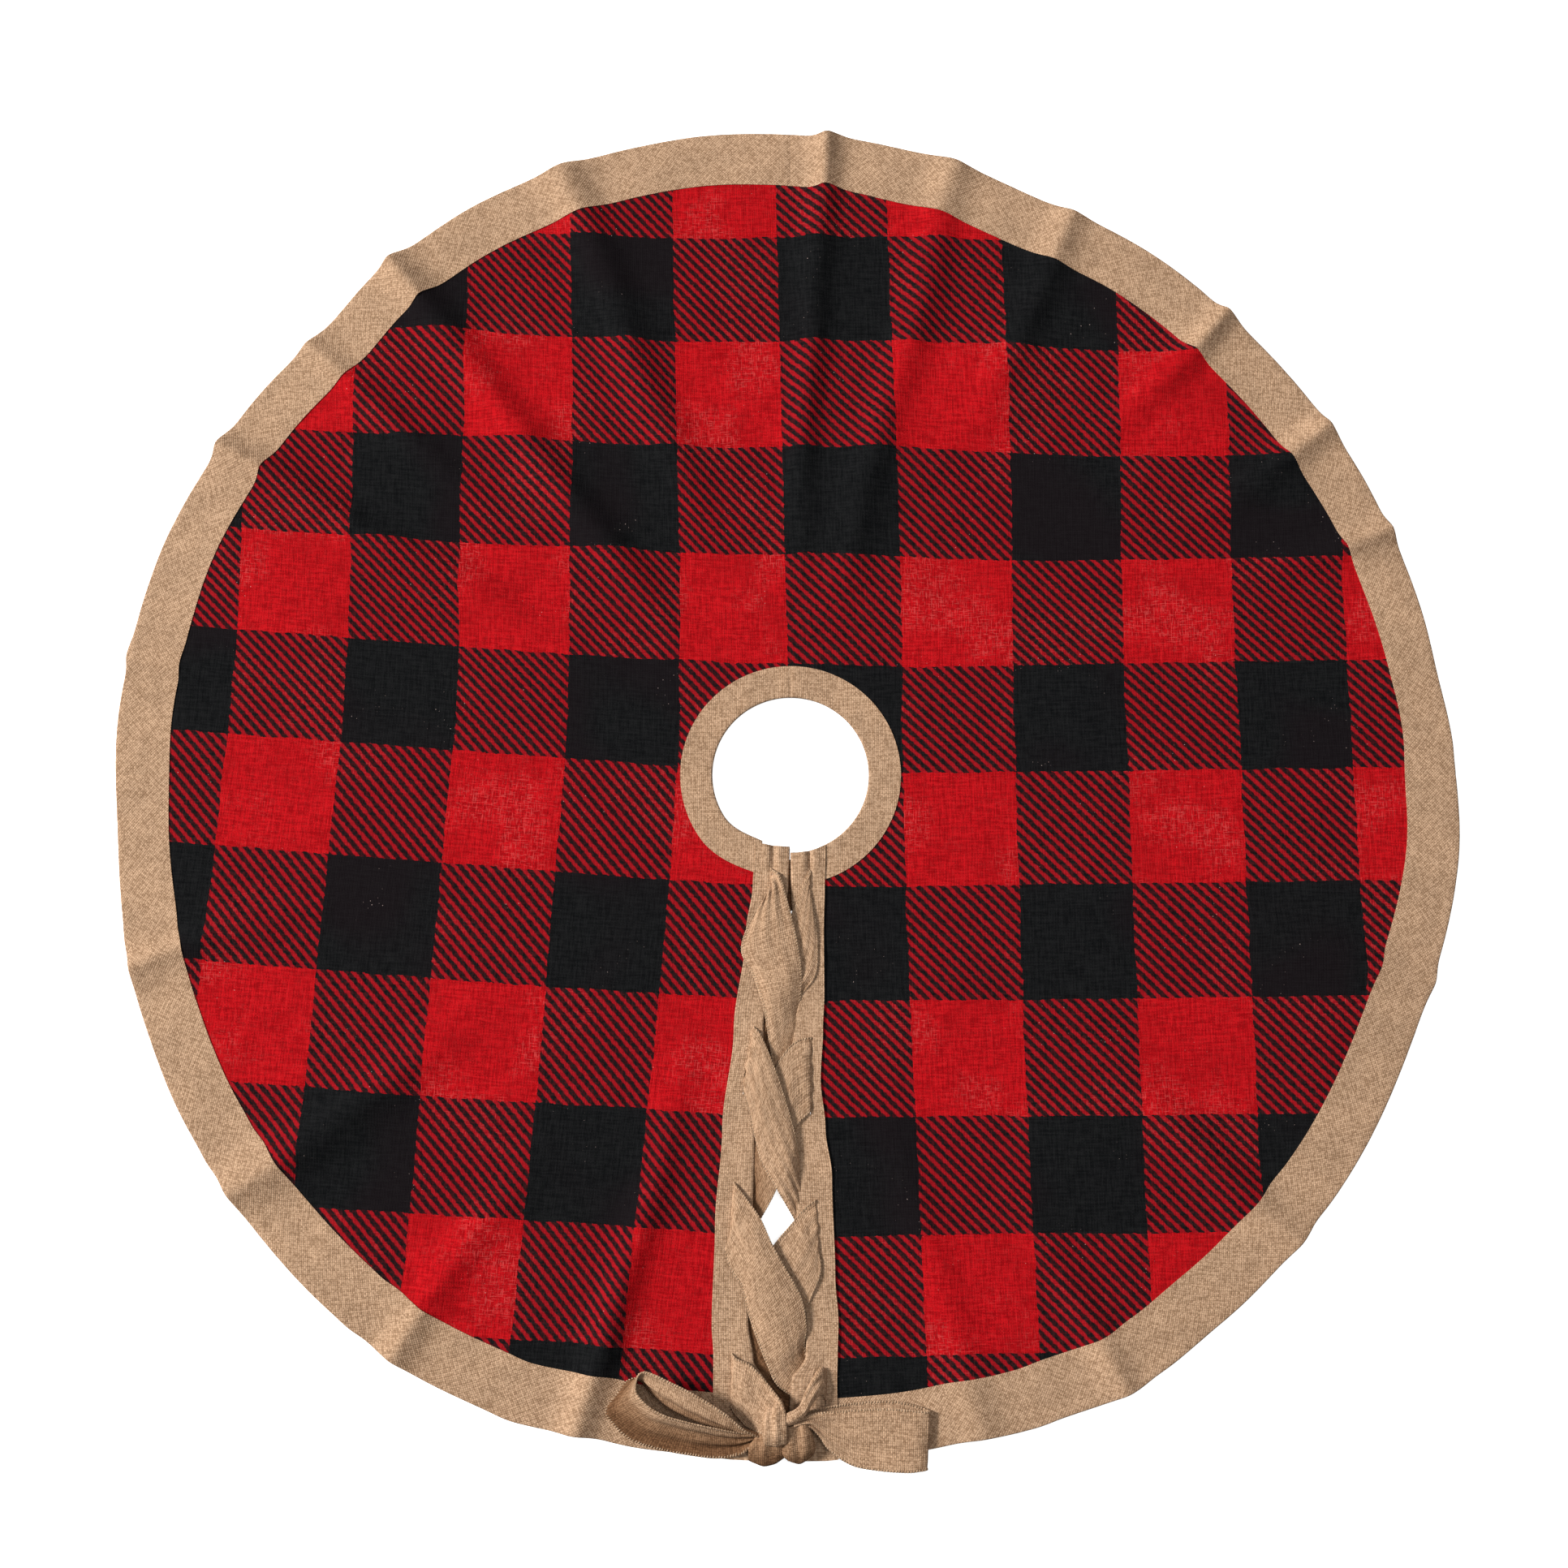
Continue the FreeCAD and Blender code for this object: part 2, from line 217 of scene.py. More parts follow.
def place(direction, radius):
    """The x and y that lie in a direction from the trunk's centre."""
    angle = math.radians(direction)
    return radius * math.sin(angle), radius * math.cos(angle)


def direction_of(x, y):
    return math.degrees(math.atan2(x, y))


def lift(x, y):
    """How high the laid cloth stands off the floor."""
    radius = math.hypot(x, y)
    direction = direction_of(x, y)
    height = 0.0
    for towards, half_width, size, start, pucker in FOLDS:
        away = math.radians(direction - towards)
        if abs(away) * radius > 4 * half_width or radius < start:
            continue
        wander = 9.0 * noise.noise(Vector((radius / 140.0, towards, 0.5)))
        across = (radius * math.sin(away) + wander) / half_width
        along = smooth_step(start, start + FOLD_GROWTH, radius)
        height += size * along * math.exp(-across * across)
        sharp = PUCKER_SHARPNESS * across
        near_rim = smooth_step(PUCKER_RIM - 95, PUCKER_RIM - 10, radius)
        height += PUCKER_HEIGHT * pucker * near_rim * math.exp(-sharp * sharp)
    swell = noise.noise(Vector((x / SWELL_SIZE, y / SWELL_SIZE, 3.1)))
    height += SWELL_HEIGHT * max(swell, 0.0) * smooth_step(100, 220, radius)
    near_fold_line = 1.0 - 0.55 * math.exp(-((y / 70.0) ** 2))
    beside_slit = smooth_step(60, 150, abs(x + 12)) if y < 0 else 1.0
    calm = smooth_step(0, 60, y)
    return height * near_fold_line * mix(beside_slit, 1.0, calm)


def rim_radius(direction):
    """The rim, with a small kink where a fold reaches it."""
    radius = curve_value(RIM, direction)
    for towards, _, _, _, pucker in FOLDS:
        away = math.radians(direction - towards) * radius / KINK_WIDTH
        radius += KINK_DEPTH * pucker * away * math.exp(-away * away)
    return radius


def neck_radius(direction):
    """The trunk opening. Left of the slit it is drawn in a little."""
    return TRUNK_RADIUS - 5.5 * smooth_step(-138, -178, direction)


def hem_width(direction):
    return curve_value(HEM_WIDTHS, direction)


def placket_x(side, y, share):
    """The x across a placket: share 0 is its edge at the slit and 1 its outer edge."""
    edges = LEFT_EDGES if side == LEFT else RIGHT_EDGES
    inner = curve_value([(row[0], row[1]) for row in edges], -y)
    outer = curve_value([(row[0], row[2]) for row in edges], -y)
    return mix(inner, outer, share)


def slit_direction(side, radius, tuck):
    """The direction at which a ring of this radius meets its placket's outer edge."""
    x = placket_x(side, -radius, 1.0)
    for _ in range(4):
        y = -math.sqrt(max(radius * radius - x * x, 1.0))
        x = placket_x(side, y, 1.0)
        x += tuck if side == LEFT else -tuck
    return direction_of(x, y)


def fabric_place(x, y):
    """Where a point of the laid check lies on the flat bolt of cloth."""
    direction = direction_of(x, y)
    radius = math.hypot(x, y) / curve_value(DRAWN_IN, direction)
    return place(direction - curve_value(TURN, direction), radius)


# --- Meshes ---------------------------------------------------------------------------


def grid_normals(grid):
    """The unit normal at each point of a grid of positions."""
    rows, columns = len(grid), len(grid[0])
    normals = []
    for i in range(rows):
        before, after = grid[max(i - 1, 0)], grid[min(i + 1, rows - 1)]
        line = []
        for j in range(columns):
            left, right = grid[i][max(j - 1, 0)], grid[i][min(j + 1, columns - 1)]
            normal = (after[j] - before[j]).cross(right - left)
            line.append(normal.normalized() if normal.length > 1e-9 else Vector((0, 0, 1)))
        normals.append(line)
    return normals


def add_object(name, mesh, material):
    """Puts a mesh in the scene, smooth and all of one material."""
    mesh.materials.append(material)
    mesh.polygons.foreach_set("use_smooth", [True] * len(mesh.polygons))
    piece = bpy.data.objects.new(name, mesh)
    bpy.context.scene.collection.objects.link(piece)
    return piece


def build_mesh(name, grid, thickness, material, texture, keep=None):
    """A sheet of even thickness about a grid of positions.

    texture(i, j, position) gives the place on the flat cloth. Cells for which keep(i, j)
    is false are left out, and every open edge gets a wall.
    """
    cells = [(i, j) for i in range(len(grid) - 1) for j in range(len(grid[0]) - 1)
             if keep is None or keep(i, j)]
    corners = sorted({(i + down, j + right) for i, j in cells for down in (0, 1) for right in (0, 1)})
    index = {corner: k for k, corner in enumerate(corners)}
    upper = []
    for i, j in cells:
        around = ((i, j), (i + 1, j), (i + 1, j + 1), (i, j + 1))
        upper.append(tuple(index[corner] for corner in around))
    borders = {}
    for face in upper:
        for start, end in zip(face, face[1:] + face[:1]):
            if (end, start) in borders:
                del borders[(end, start)]
            else:
                borders[(start, end)] = True
    count = len(corners)
    lower = [tuple(k + count for k in reversed(face)) for face in upper]
    walls = [(end, start, start + count, end + count) for start, end in borders]
    normals = grid_normals(grid)
    points = []
    for side in (thickness / 2, -thickness / 2):
        points += [(grid[i][j] + normals[i][j] * side) * MM for i, j in corners]
    mesh = bpy.data.meshes.new(name)
    mesh.from_pydata(points, [], upper + lower + walls)
    layer = mesh.uv_layers.new(name="cloth")
    flat = [texture(i, j, grid[i][j]) for i, j in corners]
    for loop in mesh.loops:
        u, v = flat[loop.vertex_index % count]
        layer.data[loop.index].uv = (u * MM, v * MM)
    piece = add_object(name, mesh, material)
    mesh.set_sharp_from_angle(angle=math.radians(55))
    return piece


def stands_for(piece, node, slot):
    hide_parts(node)


# --- Materials ------------------------------------------------------------------------


def arithmetic(operation):
    """A method that puts a value through one operation of the math node."""
    return lambda value, *others: value.shader.math(operation, value, *others)


class Value:
    """The output of a shader node. Arithmetic on it makes further nodes."""

    def __init__(self, shader, socket):
        self.shader = shader
        self.socket = socket

    __add__ = arithmetic("ADD")
    __sub__ = arithmetic("SUBTRACT")
    __mul__ = arithmetic("MULTIPLY")
    __truediv__ = arithmetic("DIVIDE")
    __mod__ = arithmetic("FLOORED_MODULO")
    __pow__ = arithmetic("POWER")
    __abs__ = arithmetic("ABSOLUTE")
    __gt__ = arithmetic("GREATER_THAN")
    __lt__ = arithmetic("LESS_THAN")


class Shader:
    """One material's node tree, with short ways to add nodes to it."""

    def __init__(self, name, roughness, specular=0.1):
        self.material = bpy.data.materials.new(name)
        self.material.use_nodes = True
        self.tree = self.material.node_tree
        self.surface = self.tree.nodes["Principled BSDF"]
        self.surface.inputs["Roughness"].default_value = roughness
        self.surface.inputs["Specular IOR Level"].default_value = specular

    def node(self, kind, **settings):
        node = self.tree.nodes.new(kind)
        for name, value in settings.items():
            setattr(node, name, value)
        return node

    def join(self, values, sockets):
        """Links each value to its socket, or sets the socket if it is a plain number."""
        for value, socket in zip(values, sockets):
            if isinstance(value, Value):
                self.tree.links.new(value.socket, socket)
            else:
                socket.default_value = value

    def math(self, operation, *values, clamp=False):
        node = self.node("ShaderNodeMath", operation=operation, use_clamp=clamp)
        self.join(values, node.inputs)
        return Value(self, node.outputs[0])

    def parts(self, vector):
        """The x, y and z of a vector."""
        node = self.node("ShaderNodeSeparateXYZ")
        self.join([vector], node.inputs)
        return [Value(self, output) for output in node.outputs]

    def cloth(self):
        """The place on the flat cloth, in metres, and its two parts."""
        vector = Value(self, self.node("ShaderNodeUVMap", uv_map="cloth").outputs["UV"])
        u, v, _ = self.parts(vector)
        return vector, u, v

    def noise(self, vector, scale, detail=2.0, stretch=(1, 1)):
        """Noise that varies scale times a metre, times stretch along each direction."""
        mapping = self.node("ShaderNodeMapping")
        mapping.inputs["Scale"].default_value = (scale * stretch[0], scale * stretch[1], scale)
        self.join([vector], [mapping.inputs["Vector"]])
        node = self.node("ShaderNodeTexNoise", noise_dimensions="2D")
        node.inputs["Scale"].default_value = 1.0
        node.inputs["Detail"].default_value = detail
        self.join([Value(self, mapping.outputs["Vector"])], [node.inputs["Vector"]])
        return Value(self, node.outputs["Fac"])

    def streaks(self, vector, scale, detail, thinness):
        """Noise drawn out along the weft, and the same along the warp."""
        along_weft = self.noise(vector, scale, detail, (1.0, thinness))
        along_warp = self.noise(vector, scale, detail, (thinness, 1.0))
        return along_weft, along_warp

    def fit(self, value, low, high, start=0.0, end=1.0):
        """Runs smoothly from start to end while the value runs from low to high."""
        node = self.node("ShaderNodeMapRange", interpolation_type="SMOOTHSTEP")
        self.join((value, low, high, start, end), node.inputs)
        return Value(self, node.outputs[0])

    def blend(self, amount, first, second, mode="MIX"):
        """Goes from the first colour to the second as the amount goes from 0 to 1."""
        node = self.node("ShaderNodeMix", data_type="RGBA", blend_type=mode)
        self.join((amount, first, second), (node.inputs[0], node.inputs[6], node.inputs[7]))
        return Value(self, node.outputs[2])

    def finish(self, colour, height, depth):
        """Sets the colour, and the relief as a height of 0 to 1 times depth metres."""
        bump = self.node("ShaderNodeBump")
        bump.inputs["Distance"].default_value = depth
        self.join([height], [bump.inputs["Height"]])
        normal = Value(self, bump.outputs["Normal"])
        surface = self.surface.inputs
        self.join((colour, normal), (surface["Base Color"], surface["Normal"]))
        return self.material


def weave(shader, vector, u, v, pitch):
    """A plain weave with threads pitch metres apart.

    Gives its relief, the tone of the thread on top and whether that is a warp thread.
    """
    across = shader.math("SINE", u * (math.pi / pitch))
    along = shader.math("SINE", v * (math.pi / pitch))
    product = across * along
    warp = abs(across) ** 0.6 * (product * 0.45 + 0.55)
    weft = abs(along) ** 0.6 * (product * -0.45 + 0.55)
    relief = shader.math("MAXIMUM", warp, weft)
    on_top = product > 0.0
    warp_tone = shader.noise(vector, 1 / pitch, 1.0, (0.85, 0.16))
    weft_tone = shader.noise(vector, 1 / pitch, 1.0, (0.16, 0.85))
    tone = warp_tone * on_top + weft_tone * (on_top * -1.0 + 1.0)
    return relief, tone, on_top


def burlap(name, pitch, light, dark, painted_shade_below):
    """Natural jute cloth, uneven in thread and tone, with painted shade that makes it darker and warmer
    below a height.
    """
    shader = Shader(name, 0.92)
    vector, u, v = shader.cloth()
    relief, tone, on_top = weave(shader, vector, u, v, pitch * MM)
    slub_u, slub_v = shader.streaks(vector, 620.0, 1.0, 0.12)
    slubs = (slub_u + slub_v) * 0.5
    crossings = shader.noise(vector, 0.8 / (pitch * MM), 1.0)
    patches = shader.noise(vector, 26.0, 3.0)
    thread_tone = tone * 0.40 + slubs * 0.30 + crossings * 0.30
    colour = shader.blend(shader.fit(thread_tone, 0.37, 0.62), dark, light)
    tone_and_shade = shader.fit(patches, 0.3, 0.7, 0.94, 1.06)
    # Painted shade in the hollows of the weave. The patches and the warp and weft difference are the cloth's
    # own tone.
    tone_and_shade *= shader.fit(relief, 0.20, 0.85, 0.76, 1.08)
    tone_and_shade *= shader.fit(on_top, 0.0, 1.0, 0.96, 1.04)
    # Painted shade: below a height the colour grows darker, and warmer as it darkens, since green and blue
    # fall faster than red.
    spot = Value(shader, shader.node("ShaderNodeTexCoord").outputs["Object"])
    _, _, above_ground = shader.parts(spot)
    painted_low_shade = shader.fit(above_ground, 0.1 * painted_shade_below * MM, painted_shade_below * MM, 0.30, 1.0)
    tint = shader.node("ShaderNodeCombineColor")
    shader.join([tone_and_shade * painted_low_shade ** warmth for warmth in (1.0, 1.25, 1.5)], tint.inputs)
    colour = shader.blend(1.0, colour, Value(shader, tint.outputs[0]), "MULTIPLY")
    return shader.finish(colour, relief * 0.7 + slubs * 0.3, 0.0005)


def check_cloth(name):
    """Coarse plain cloth printed with a red and black check, hatched where they mix."""
    shader = Shader(name, 0.95, 0.03)
    vector, u, v = shader.cloth()
    relief, tone, _ = weave(shader, vector, u, v, CHECK_WEAVE * MM)
    slub_u, slub_v = shader.streaks(vector, 420.0, 2.0, 0.1)
    slubs = (slub_u + slub_v) * 0.5

    # The check, whose edges wander a little
    ragged = shader.noise(vector, 260.0, 2.0) - 0.5
    wave = shader.noise(vector, 28.0, 1.0) - 0.5
    drift = ragged * 0.022 + wave * 0.03
    column = u / (CHECK * MM) + drift
    row = v / (CHECK * MM) - drift
    layers = (column % 2.0 < 1.0) + (row % 2.0 < 1.0)

    # Ink: all of a black square, and slanting lines in a hatched one
    phase = (column + row) * TWILL_LINES + ragged * 0.3
    ridge = shader.math("PINGPONG", phase, 0.5)
    line = shader.fit(ridge, 0.20, 0.375, 1.0, 0.0)
    line *= shader.fit(shader.noise(vector, 320.0, 2.0), 0.35, 0.65, 1.0, 0.90)
    solid = layers > 1.5
    hatched = (layers > 0.5) - solid
    ink = shader.math("ADD", solid, hatched * line, clamp=True)

    # Red, deeper in patches and under the hatching, with bare threads where it is worn
    thread_tone = tone * 0.4 + slubs * 0.6
    red = shader.blend(shader.fit(thread_tone, 0.36, 0.64), RED_DARK, RED_LIGHT)
    deep = shader.fit(shader.noise(vector, 18.0, 4.0), 0.45, 0.75, 0.0, 0.35)
    red = shader.blend(deep, red, RED_DEEP)
    red = shader.blend(hatched * 0.55, red, RED_HATCHED)
    dash_u, dash_v = shader.streaks(vector, 900.0, 1.0, 0.14)
    dashes = shader.math("ADD", shader.fit(dash_u, 0.56, 0.74), shader.fit(dash_v, 0.56, 0.74), clamp=True)
    bare = dashes * shader.fit(shader.noise(vector, 11.0, 2.0), 0.50, 0.68, 0.05, 0.42)
    bare *= shader.fit(hatched, 0.0, 1.0, 1.0, 0.5)
    red = shader.blend(bare, red, BARE_THREAD)

    # Black, warmer in patches, with a little lint
    black = shader.blend(shader.fit(thread_tone, 0.3, 0.7), BLACK_DARK, BLACK_LIGHT)
    warm = shader.fit(shader.noise(vector, 7.0, 1.0), 0.45, 0.65, 0.0, 0.6)
    black = shader.blend(warm, black, BLACK_WARM)
    lint = shader.fit(shader.noise(vector, 620.0, 0.0), 0.88, 0.93, 0.0, 0.5)
    lint *= shader.fit(shader.noise(vector, 15.0, 1.0), 0.60, 0.72)
    colour = shader.blend(ink, red, black)
    colour = shader.blend(lint, colour, LINT)
    return shader.finish(colour, relief * 0.5 + slubs * 0.7, 0.0006)


def cotton(name):
    """Unbleached lining cloth, finer and smoother than the rest."""
    shader = Shader(name, 0.88)
    vector, u, v = shader.cloth()
    relief, tone, _ = weave(shader, vector, u, v, LINING_WEAVE * MM)
    patches = shader.noise(vector, 14.0, 3.0)
    colour = shader.blend(shader.fit(tone, 0.3, 0.7), COTTON_DARK, COTTON_LIGHT)
    colour = shader.blend(shader.fit(patches, 0.45, 0.75, 0.0, 0.3), colour, COTTON_PATCH)
    return shader.finish(colour, relief, 0.0003)


def thread_material(name):
    """Twisted sewing thread for the overlocked edges."""
    shader = Shader(name, 0.85)
    vector, u, v = shader.cloth()
    ply = shader.math("SINE", (u + v) * 9000.0)
    tone = shader.noise(vector, 220.0, 2.0)
    colour = shader.blend(shader.fit(tone, 0.3, 0.7), THREAD_DARK, THREAD_LIGHT)
    return shader.finish(colour, shader.fit(ply, -1.0, 1.0), 0.0002)


def floor_material():
    """White paper that glows, so that its shadows stay faint."""
    shader = Shader("floor_paper", 0.95)
    shader.surface.inputs["Base Color"].default_value = (0.93, 0.93, 0.93, 1)
    shader.surface.inputs["Emission Color"].default_value = (1, 1, 1, 1)
    shader.surface.inputs["Emission Strength"].default_value = 0.75
    return shader.material


# --- Laid cloth -----------------------------------------------------------------------


def spread(start, end, step):
    """Evenly spaced values from start to end, no further apart than step."""
    count = max(int(math.ceil(abs(end - start) / step)), 1)
    return [mix(start, end, k / count) for k in range(count + 1)]


def make_half_sheet(name, side, level, rise, thickness, material):
    """One half of the lining or of the check, from the back centre to the slit.

    rise is how much higher it runs where it is tucked into a band.
    """
    half_round = math.radians(PANEL_TURN) * PANEL_OUTER
    beside_seam = 0.6 / half_round
    shares = [0.0] + spread(beside_seam, 1.0, PANEL_STEP / half_round)
    depths = spread(0.0, 1.0, PANEL_STEP / PANEL_WIDTH)
    grid = []
    ends = [slit_direction(side, mix(PANEL_INNER, PANEL_OUTER, depth), TUCK) for depth in depths]
    for share in shares:
        line = []
        middle = share * ends[len(ends) // 2]
        low = neck_radius(middle) + NECK_WIDTH - TUCK
        high = rim_radius(middle) - hem_width(middle) + TUCK
        for depth, end in zip(depths, ends):
            radius = mix(low, high, depth)
            x, y = place(share * end, radius)
            inward = min(radius - low, high - radius, (1 - share) * math.pi * radius)
            tucked = 1 - smooth_step(0.5 * TUCK, 1.6 * TUCK, inward)
            line.append(Vector((x, y, level + lift(x, y) + rise * tucked)))
        grid.append(line)
    if side == RIGHT:
        grid.reverse()

    def texture(i, j, position):
        return fabric_place(position.x, position.y)

    return build_mesh(name, grid, thickness, material, texture)


def band_section(width):
    """Points across a folded band: how far in from its folded edge, and how high."""
    turn = (BAND_HIGH - BAND_LOW) / 2
    steps = [mix(width, turn, k / BAND_COLUMNS) for k in range(BAND_COLUMNS)]
    points = [(inset, BAND_LOW) for inset in steps]
    for k in range(7):
        angle = math.pi * k / 6
        points.append((turn - turn * math.sin(angle), BAND_LOW + turn - turn * math.cos(angle)))
    points += [(inset, BAND_HIGH) for inset in reversed(steps)]
    return points


def make_ring_band(name, start, end, edge_radius, inward, width, grain, material, step=3.6):
    """A folded band along part of the rim (inward -1) or of the trunk opening (+1)."""
    grid = []
    for share in spread(0.0, 1.0, step / (abs(math.radians(end - start)) * edge_radius(start))):
        line = []
        for inset, height in band_section(width(mix(start, end, share))):
            direction = mix(start, end, share)
            radius = edge_radius(direction) + inward * inset
            if end in (-180, 180):
                side = LEFT if end < 0 else RIGHT
                direction = mix(start, slit_direction(side, radius, TUCK), share)
            x, y = place(direction, radius)
            ends = min(share, 1 - share) * radius * abs(math.radians(end - start))
            seam = SEAM_DEPTH * math.exp(-((ends / SEAM_WIDTH) ** 2))
            pucker = 0.35 * noise.noise(Vector((x / 9.0, y / 9.0, height)))
            middle = (height - BAND_LOW) / (BAND_HIGH - BAND_LOW)
            line.append(Vector((x, y, height + lift(x, y) + middle * (pucker - seam))))
        grid.append(line)
    if inward > 0:
        grid.reverse()

    def on_bias(i, j, position):
        """The threads of the hem run at 45 degrees to its edge."""
        direction = direction_of(position.x, position.y)
        middle_radius = 0.9 * edge_radius(0)
        length = math.radians(direction) * middle_radius
        across = math.hypot(position.x, position.y)
        return (length + across) * math.sqrt(0.5), (length - across) * math.sqrt(0.5)

    def straight(i, j, position):
        return position.x, position.y

    texture = on_bias if grain == "bias" else straight
    return build_mesh(name, grid, BAND_THICKNESS, material, texture)


def placket_section():
    """Shares and heights across a folded placket, and the two columns with buttonholes."""
    outside = [1.0, 0.9, 0.78, 0.66, 0.58, 0.507]
    shares = outside + [0.493, 0.42, 0.34, 0.24, 0.14, 0.07, 0.035]
    lower = [(share, PLACKET_LOW) for share in shares]
    fold = [(0.0, PLACKET_LOW + PLACKET_TURN * 0.5), (-0.012, PLACKET_LOW + PLACKET_TURN),
            (0.0, PLACKET_LOW + PLACKET_TURN * 1.5)]
    upper = [(share, PLACKET_HIGH) for share in reversed(shares)]
    section = lower + fold + upper
    slit_column = len(outside) - 1
    return section, (slit_column, len(section) - 2 - slit_column)


def buttonhole(slits, y):
    """Half the width of the buttonhole at y, or None between two of them."""
    for (_, near_y), (_, far_y) in slits:
        if far_y <= y <= near_y:
            along = (near_y - y) / (near_y - far_y)
            return SLIT_OPENING * math.sin(math.pi * along) ** 0.6
    return None


def slit_line(slits, y):
    """The x of the line that the buttonholes lie on."""
    top_x, top_y = slits[0][0]
    middles = [(-top_y - 20, top_x)]
    for near_end, far_end in slits:
        middles += [(-near_end[1], near_end[0]), (-far_end[1], far_end[0])]
    return curve_value(middles, -y)


def placket_place(side, slits, share, t):
    """The x and y at a share across a placket, and at t of the way from neck to rim."""
    sign = -1 if side == LEFT else 1
    rim = rim_radius(sign * 179.9) + 0.6
    near_x, far_x = placket_x(side, -TRUNK_RADIUS, share), placket_x(side, -rim, share)
    neck = neck_radius(direction_of(near_x, -TRUNK_RADIUS))
    y = -mix(math.sqrt(neck * neck - near_x * near_x), math.sqrt(rim * rim - far_x * far_x), t)
    inner, outer = placket_x(side, y, 0.0), placket_x(side, y, 1.0)
    bend = (slit_line(slits, y) - inner) / (outer - inner) - 0.5
    bent_share = share + bend * max(1 - abs(2 * share - 1), 0.0) if 0 < share < 1 else share
    x = mix(inner, outer, bent_share)
    half_open = buttonhole(slits, y)
    if half_open is not None and 0.2 < share < 0.8:
        push = math.exp(-((share - 0.5) / 0.09) ** 2) * half_open
        x += math.copysign(push, share - 0.5) * sign
    return x, y


def placket_pucker(slits, x, y, share):
    """How far a placket stands off its level, beside its slits and where it is creased."""
    pucker = 0.0
    for near_end, far_end in slits:
        off = (y - (near_end[1] + far_end[1]) / 2) / PUFF_LENGTH
        pucker += math.exp(-off * off) * (1 - smooth_step(0.1, 0.6, share)) * PUFF_HEIGHT
    pucker += 0.5 * noise.noise(Vector((x / 14.0, y / 30.0, 2.0)))
    top_x, top_y = slits[0][0]
    away = abs(x - top_x)
    crease = math.exp(-((away / 1.8) ** 2)) * smooth_step(top_y - 6, top_y + 2, y)
    ridges = 1.2 * math.exp(-(((away - 5.5) / 3.5) ** 2)) * smooth_step(top_y - 12, top_y + 4, y)
    return pucker + NECK_CREASE_DEPTH * (ridges - crease)


def make_placket(name, side, slits, material):
    """A folded strip from the trunk opening to the rim, with open buttonholes."""
    section, slit_columns = placket_section()
    grid = []
    for t in spread(0.0, 1.0, 2.4 / 530.0):
        line = []
        for share, height in section:
            x, y = placket_place(side, slits, share, t)
            strength = 1.0 if height > PLACKET_LOW + PLACKET_TURN else 0.35
            pucker = strength * placket_pucker(slits, x, y, share)
            line.append(Vector((x, y, height + pucker + lift(x, y))))
        grid.append(line)
    if side == RIGHT:
        grid.reverse()

    def keep(i, j):
        middle_y = (grid[i][0].y + grid[i + 1][0].y) / 2
        return j not in slit_columns or buttonhole(slits, middle_y) is None

    middle_row = grid[len(grid) // 2]
    across = [0.0]
    for before, after in zip(middle_row, middle_row[1:]):
        across.append(across[-1] + (after - before).length)

    def texture(i, j, position):
        return across[j], position.y

    return build_mesh(name, grid, BAND_THICKNESS, material, texture, keep)


def make_laid_cloth(check, lining, band):
    """Everything but the ribbon: two halves, each with its bands and placket."""
    for side, label, sign in ((LEFT, "left", -1), (RIGHT, "right", 1)):
        panel = make_half_sheet("check_half_" + label, side, PANEL_LEVEL, 0.0, PANEL_THICKNESS, check)
        under = make_half_sheet("lining_half_" + label, side, LINING_LEVEL, LINING_RISE,
                                LINING_THICKNESS, lining)
        neck = make_ring_band("neck_half_" + label, 0, sign * 180, neck_radius, 1,
                              lambda direction: NECK_WIDTH, "straight", band, 2.4)
        hem_back = make_ring_band("hem_back_" + label, 0, sign * 90, rim_radius, -1,
                                  hem_width, "bias", band)
        hem_front = make_ring_band("hem_front_" + label, sign * 90, sign * 180, rim_radius, -1,
                                   hem_width, "bias", band)
        slits = LEFT_SLITS if side == LEFT else RIGHT_SLITS
        placket = make_placket("placket_strip_" + label, side, slits, band)

        for piece, node, slot in (
                (panel, "check_panel_front_", "check_cloth"),
                (under, "lining_front_", "lining"),
                (neck, "neck_band_front_", "burlap_band"),
                (hem_back, "hem_band_back_", "burlap_band"),
                (hem_front, "hem_band_front_", "burlap_band"),
                (placket, "placket_", "burlap_band")):
            stands_for(piece, node + label, slot)
        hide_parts("check_panel_back")
        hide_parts("lining_back")
        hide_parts("neck_band_back")

        for piece in (panel, under, neck, hem_front):
            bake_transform(piece)
        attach(hem_back, BACK)
        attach(placket, side)


# --- Ribbon ---------------------------------------------------------------------------


def through(points, count):
    """Evenly placed points on a smooth curve through the given ones."""
    path = [Vector(point) for point in points]
    ends = [path[0] * 2 - path[1]] + path + [path[-1] * 2 - path[-2]]
    spans = len(path) - 1
    result = []
    for k in range(count + 1):
        at = k / count * spans
        i = min(int(at), spans - 1)
        t = at - i
        a, b, c, d = ends[i:i + 4]
        result.append(0.5 * (2 * b + (c - a) * t + (2 * a - 5 * b + 4 * c - d) * t * t
                             + (3 * b - a - 3 * c + d) * t * t * t))
    return result


def station_value(values, at):
    """The value at a place along the stations, which are numbered from 0."""
    return curve_value(list(enumerate(values)), at)


def side_lines(upper, lower, step):
    """Matching points along both edges, and how far each pair lies along the stations."""
    length = sum((Vector(b) - Vector(a)).length for a, b in zip(upper, upper[1:]))
    count = max(int(length / step), 12)
    stations = [k / count * (len(upper) - 1) for k in range(count + 1)]
    return through(upper, count), through(lower, count), stations


def edge_frames(top, bottom):
    """The middle, the vector across and the unit normal at each pair of edge points."""
    frames = []
    last = len(top) - 1
    for k in range(last + 1):
        before, after = max(k - 1, 0), min(k + 1, last)
        along = (top[after] + bottom[after]) - (top[before] + bottom[before])
        across = top[k] - bottom[k]
        frames.append(((top[k] + bottom[k]) / 2, across, along.cross(across).normalized()))
    return frames


def above_floor(point):
    return Vector((point.x, point.y, max(point.z, LOWEST)))


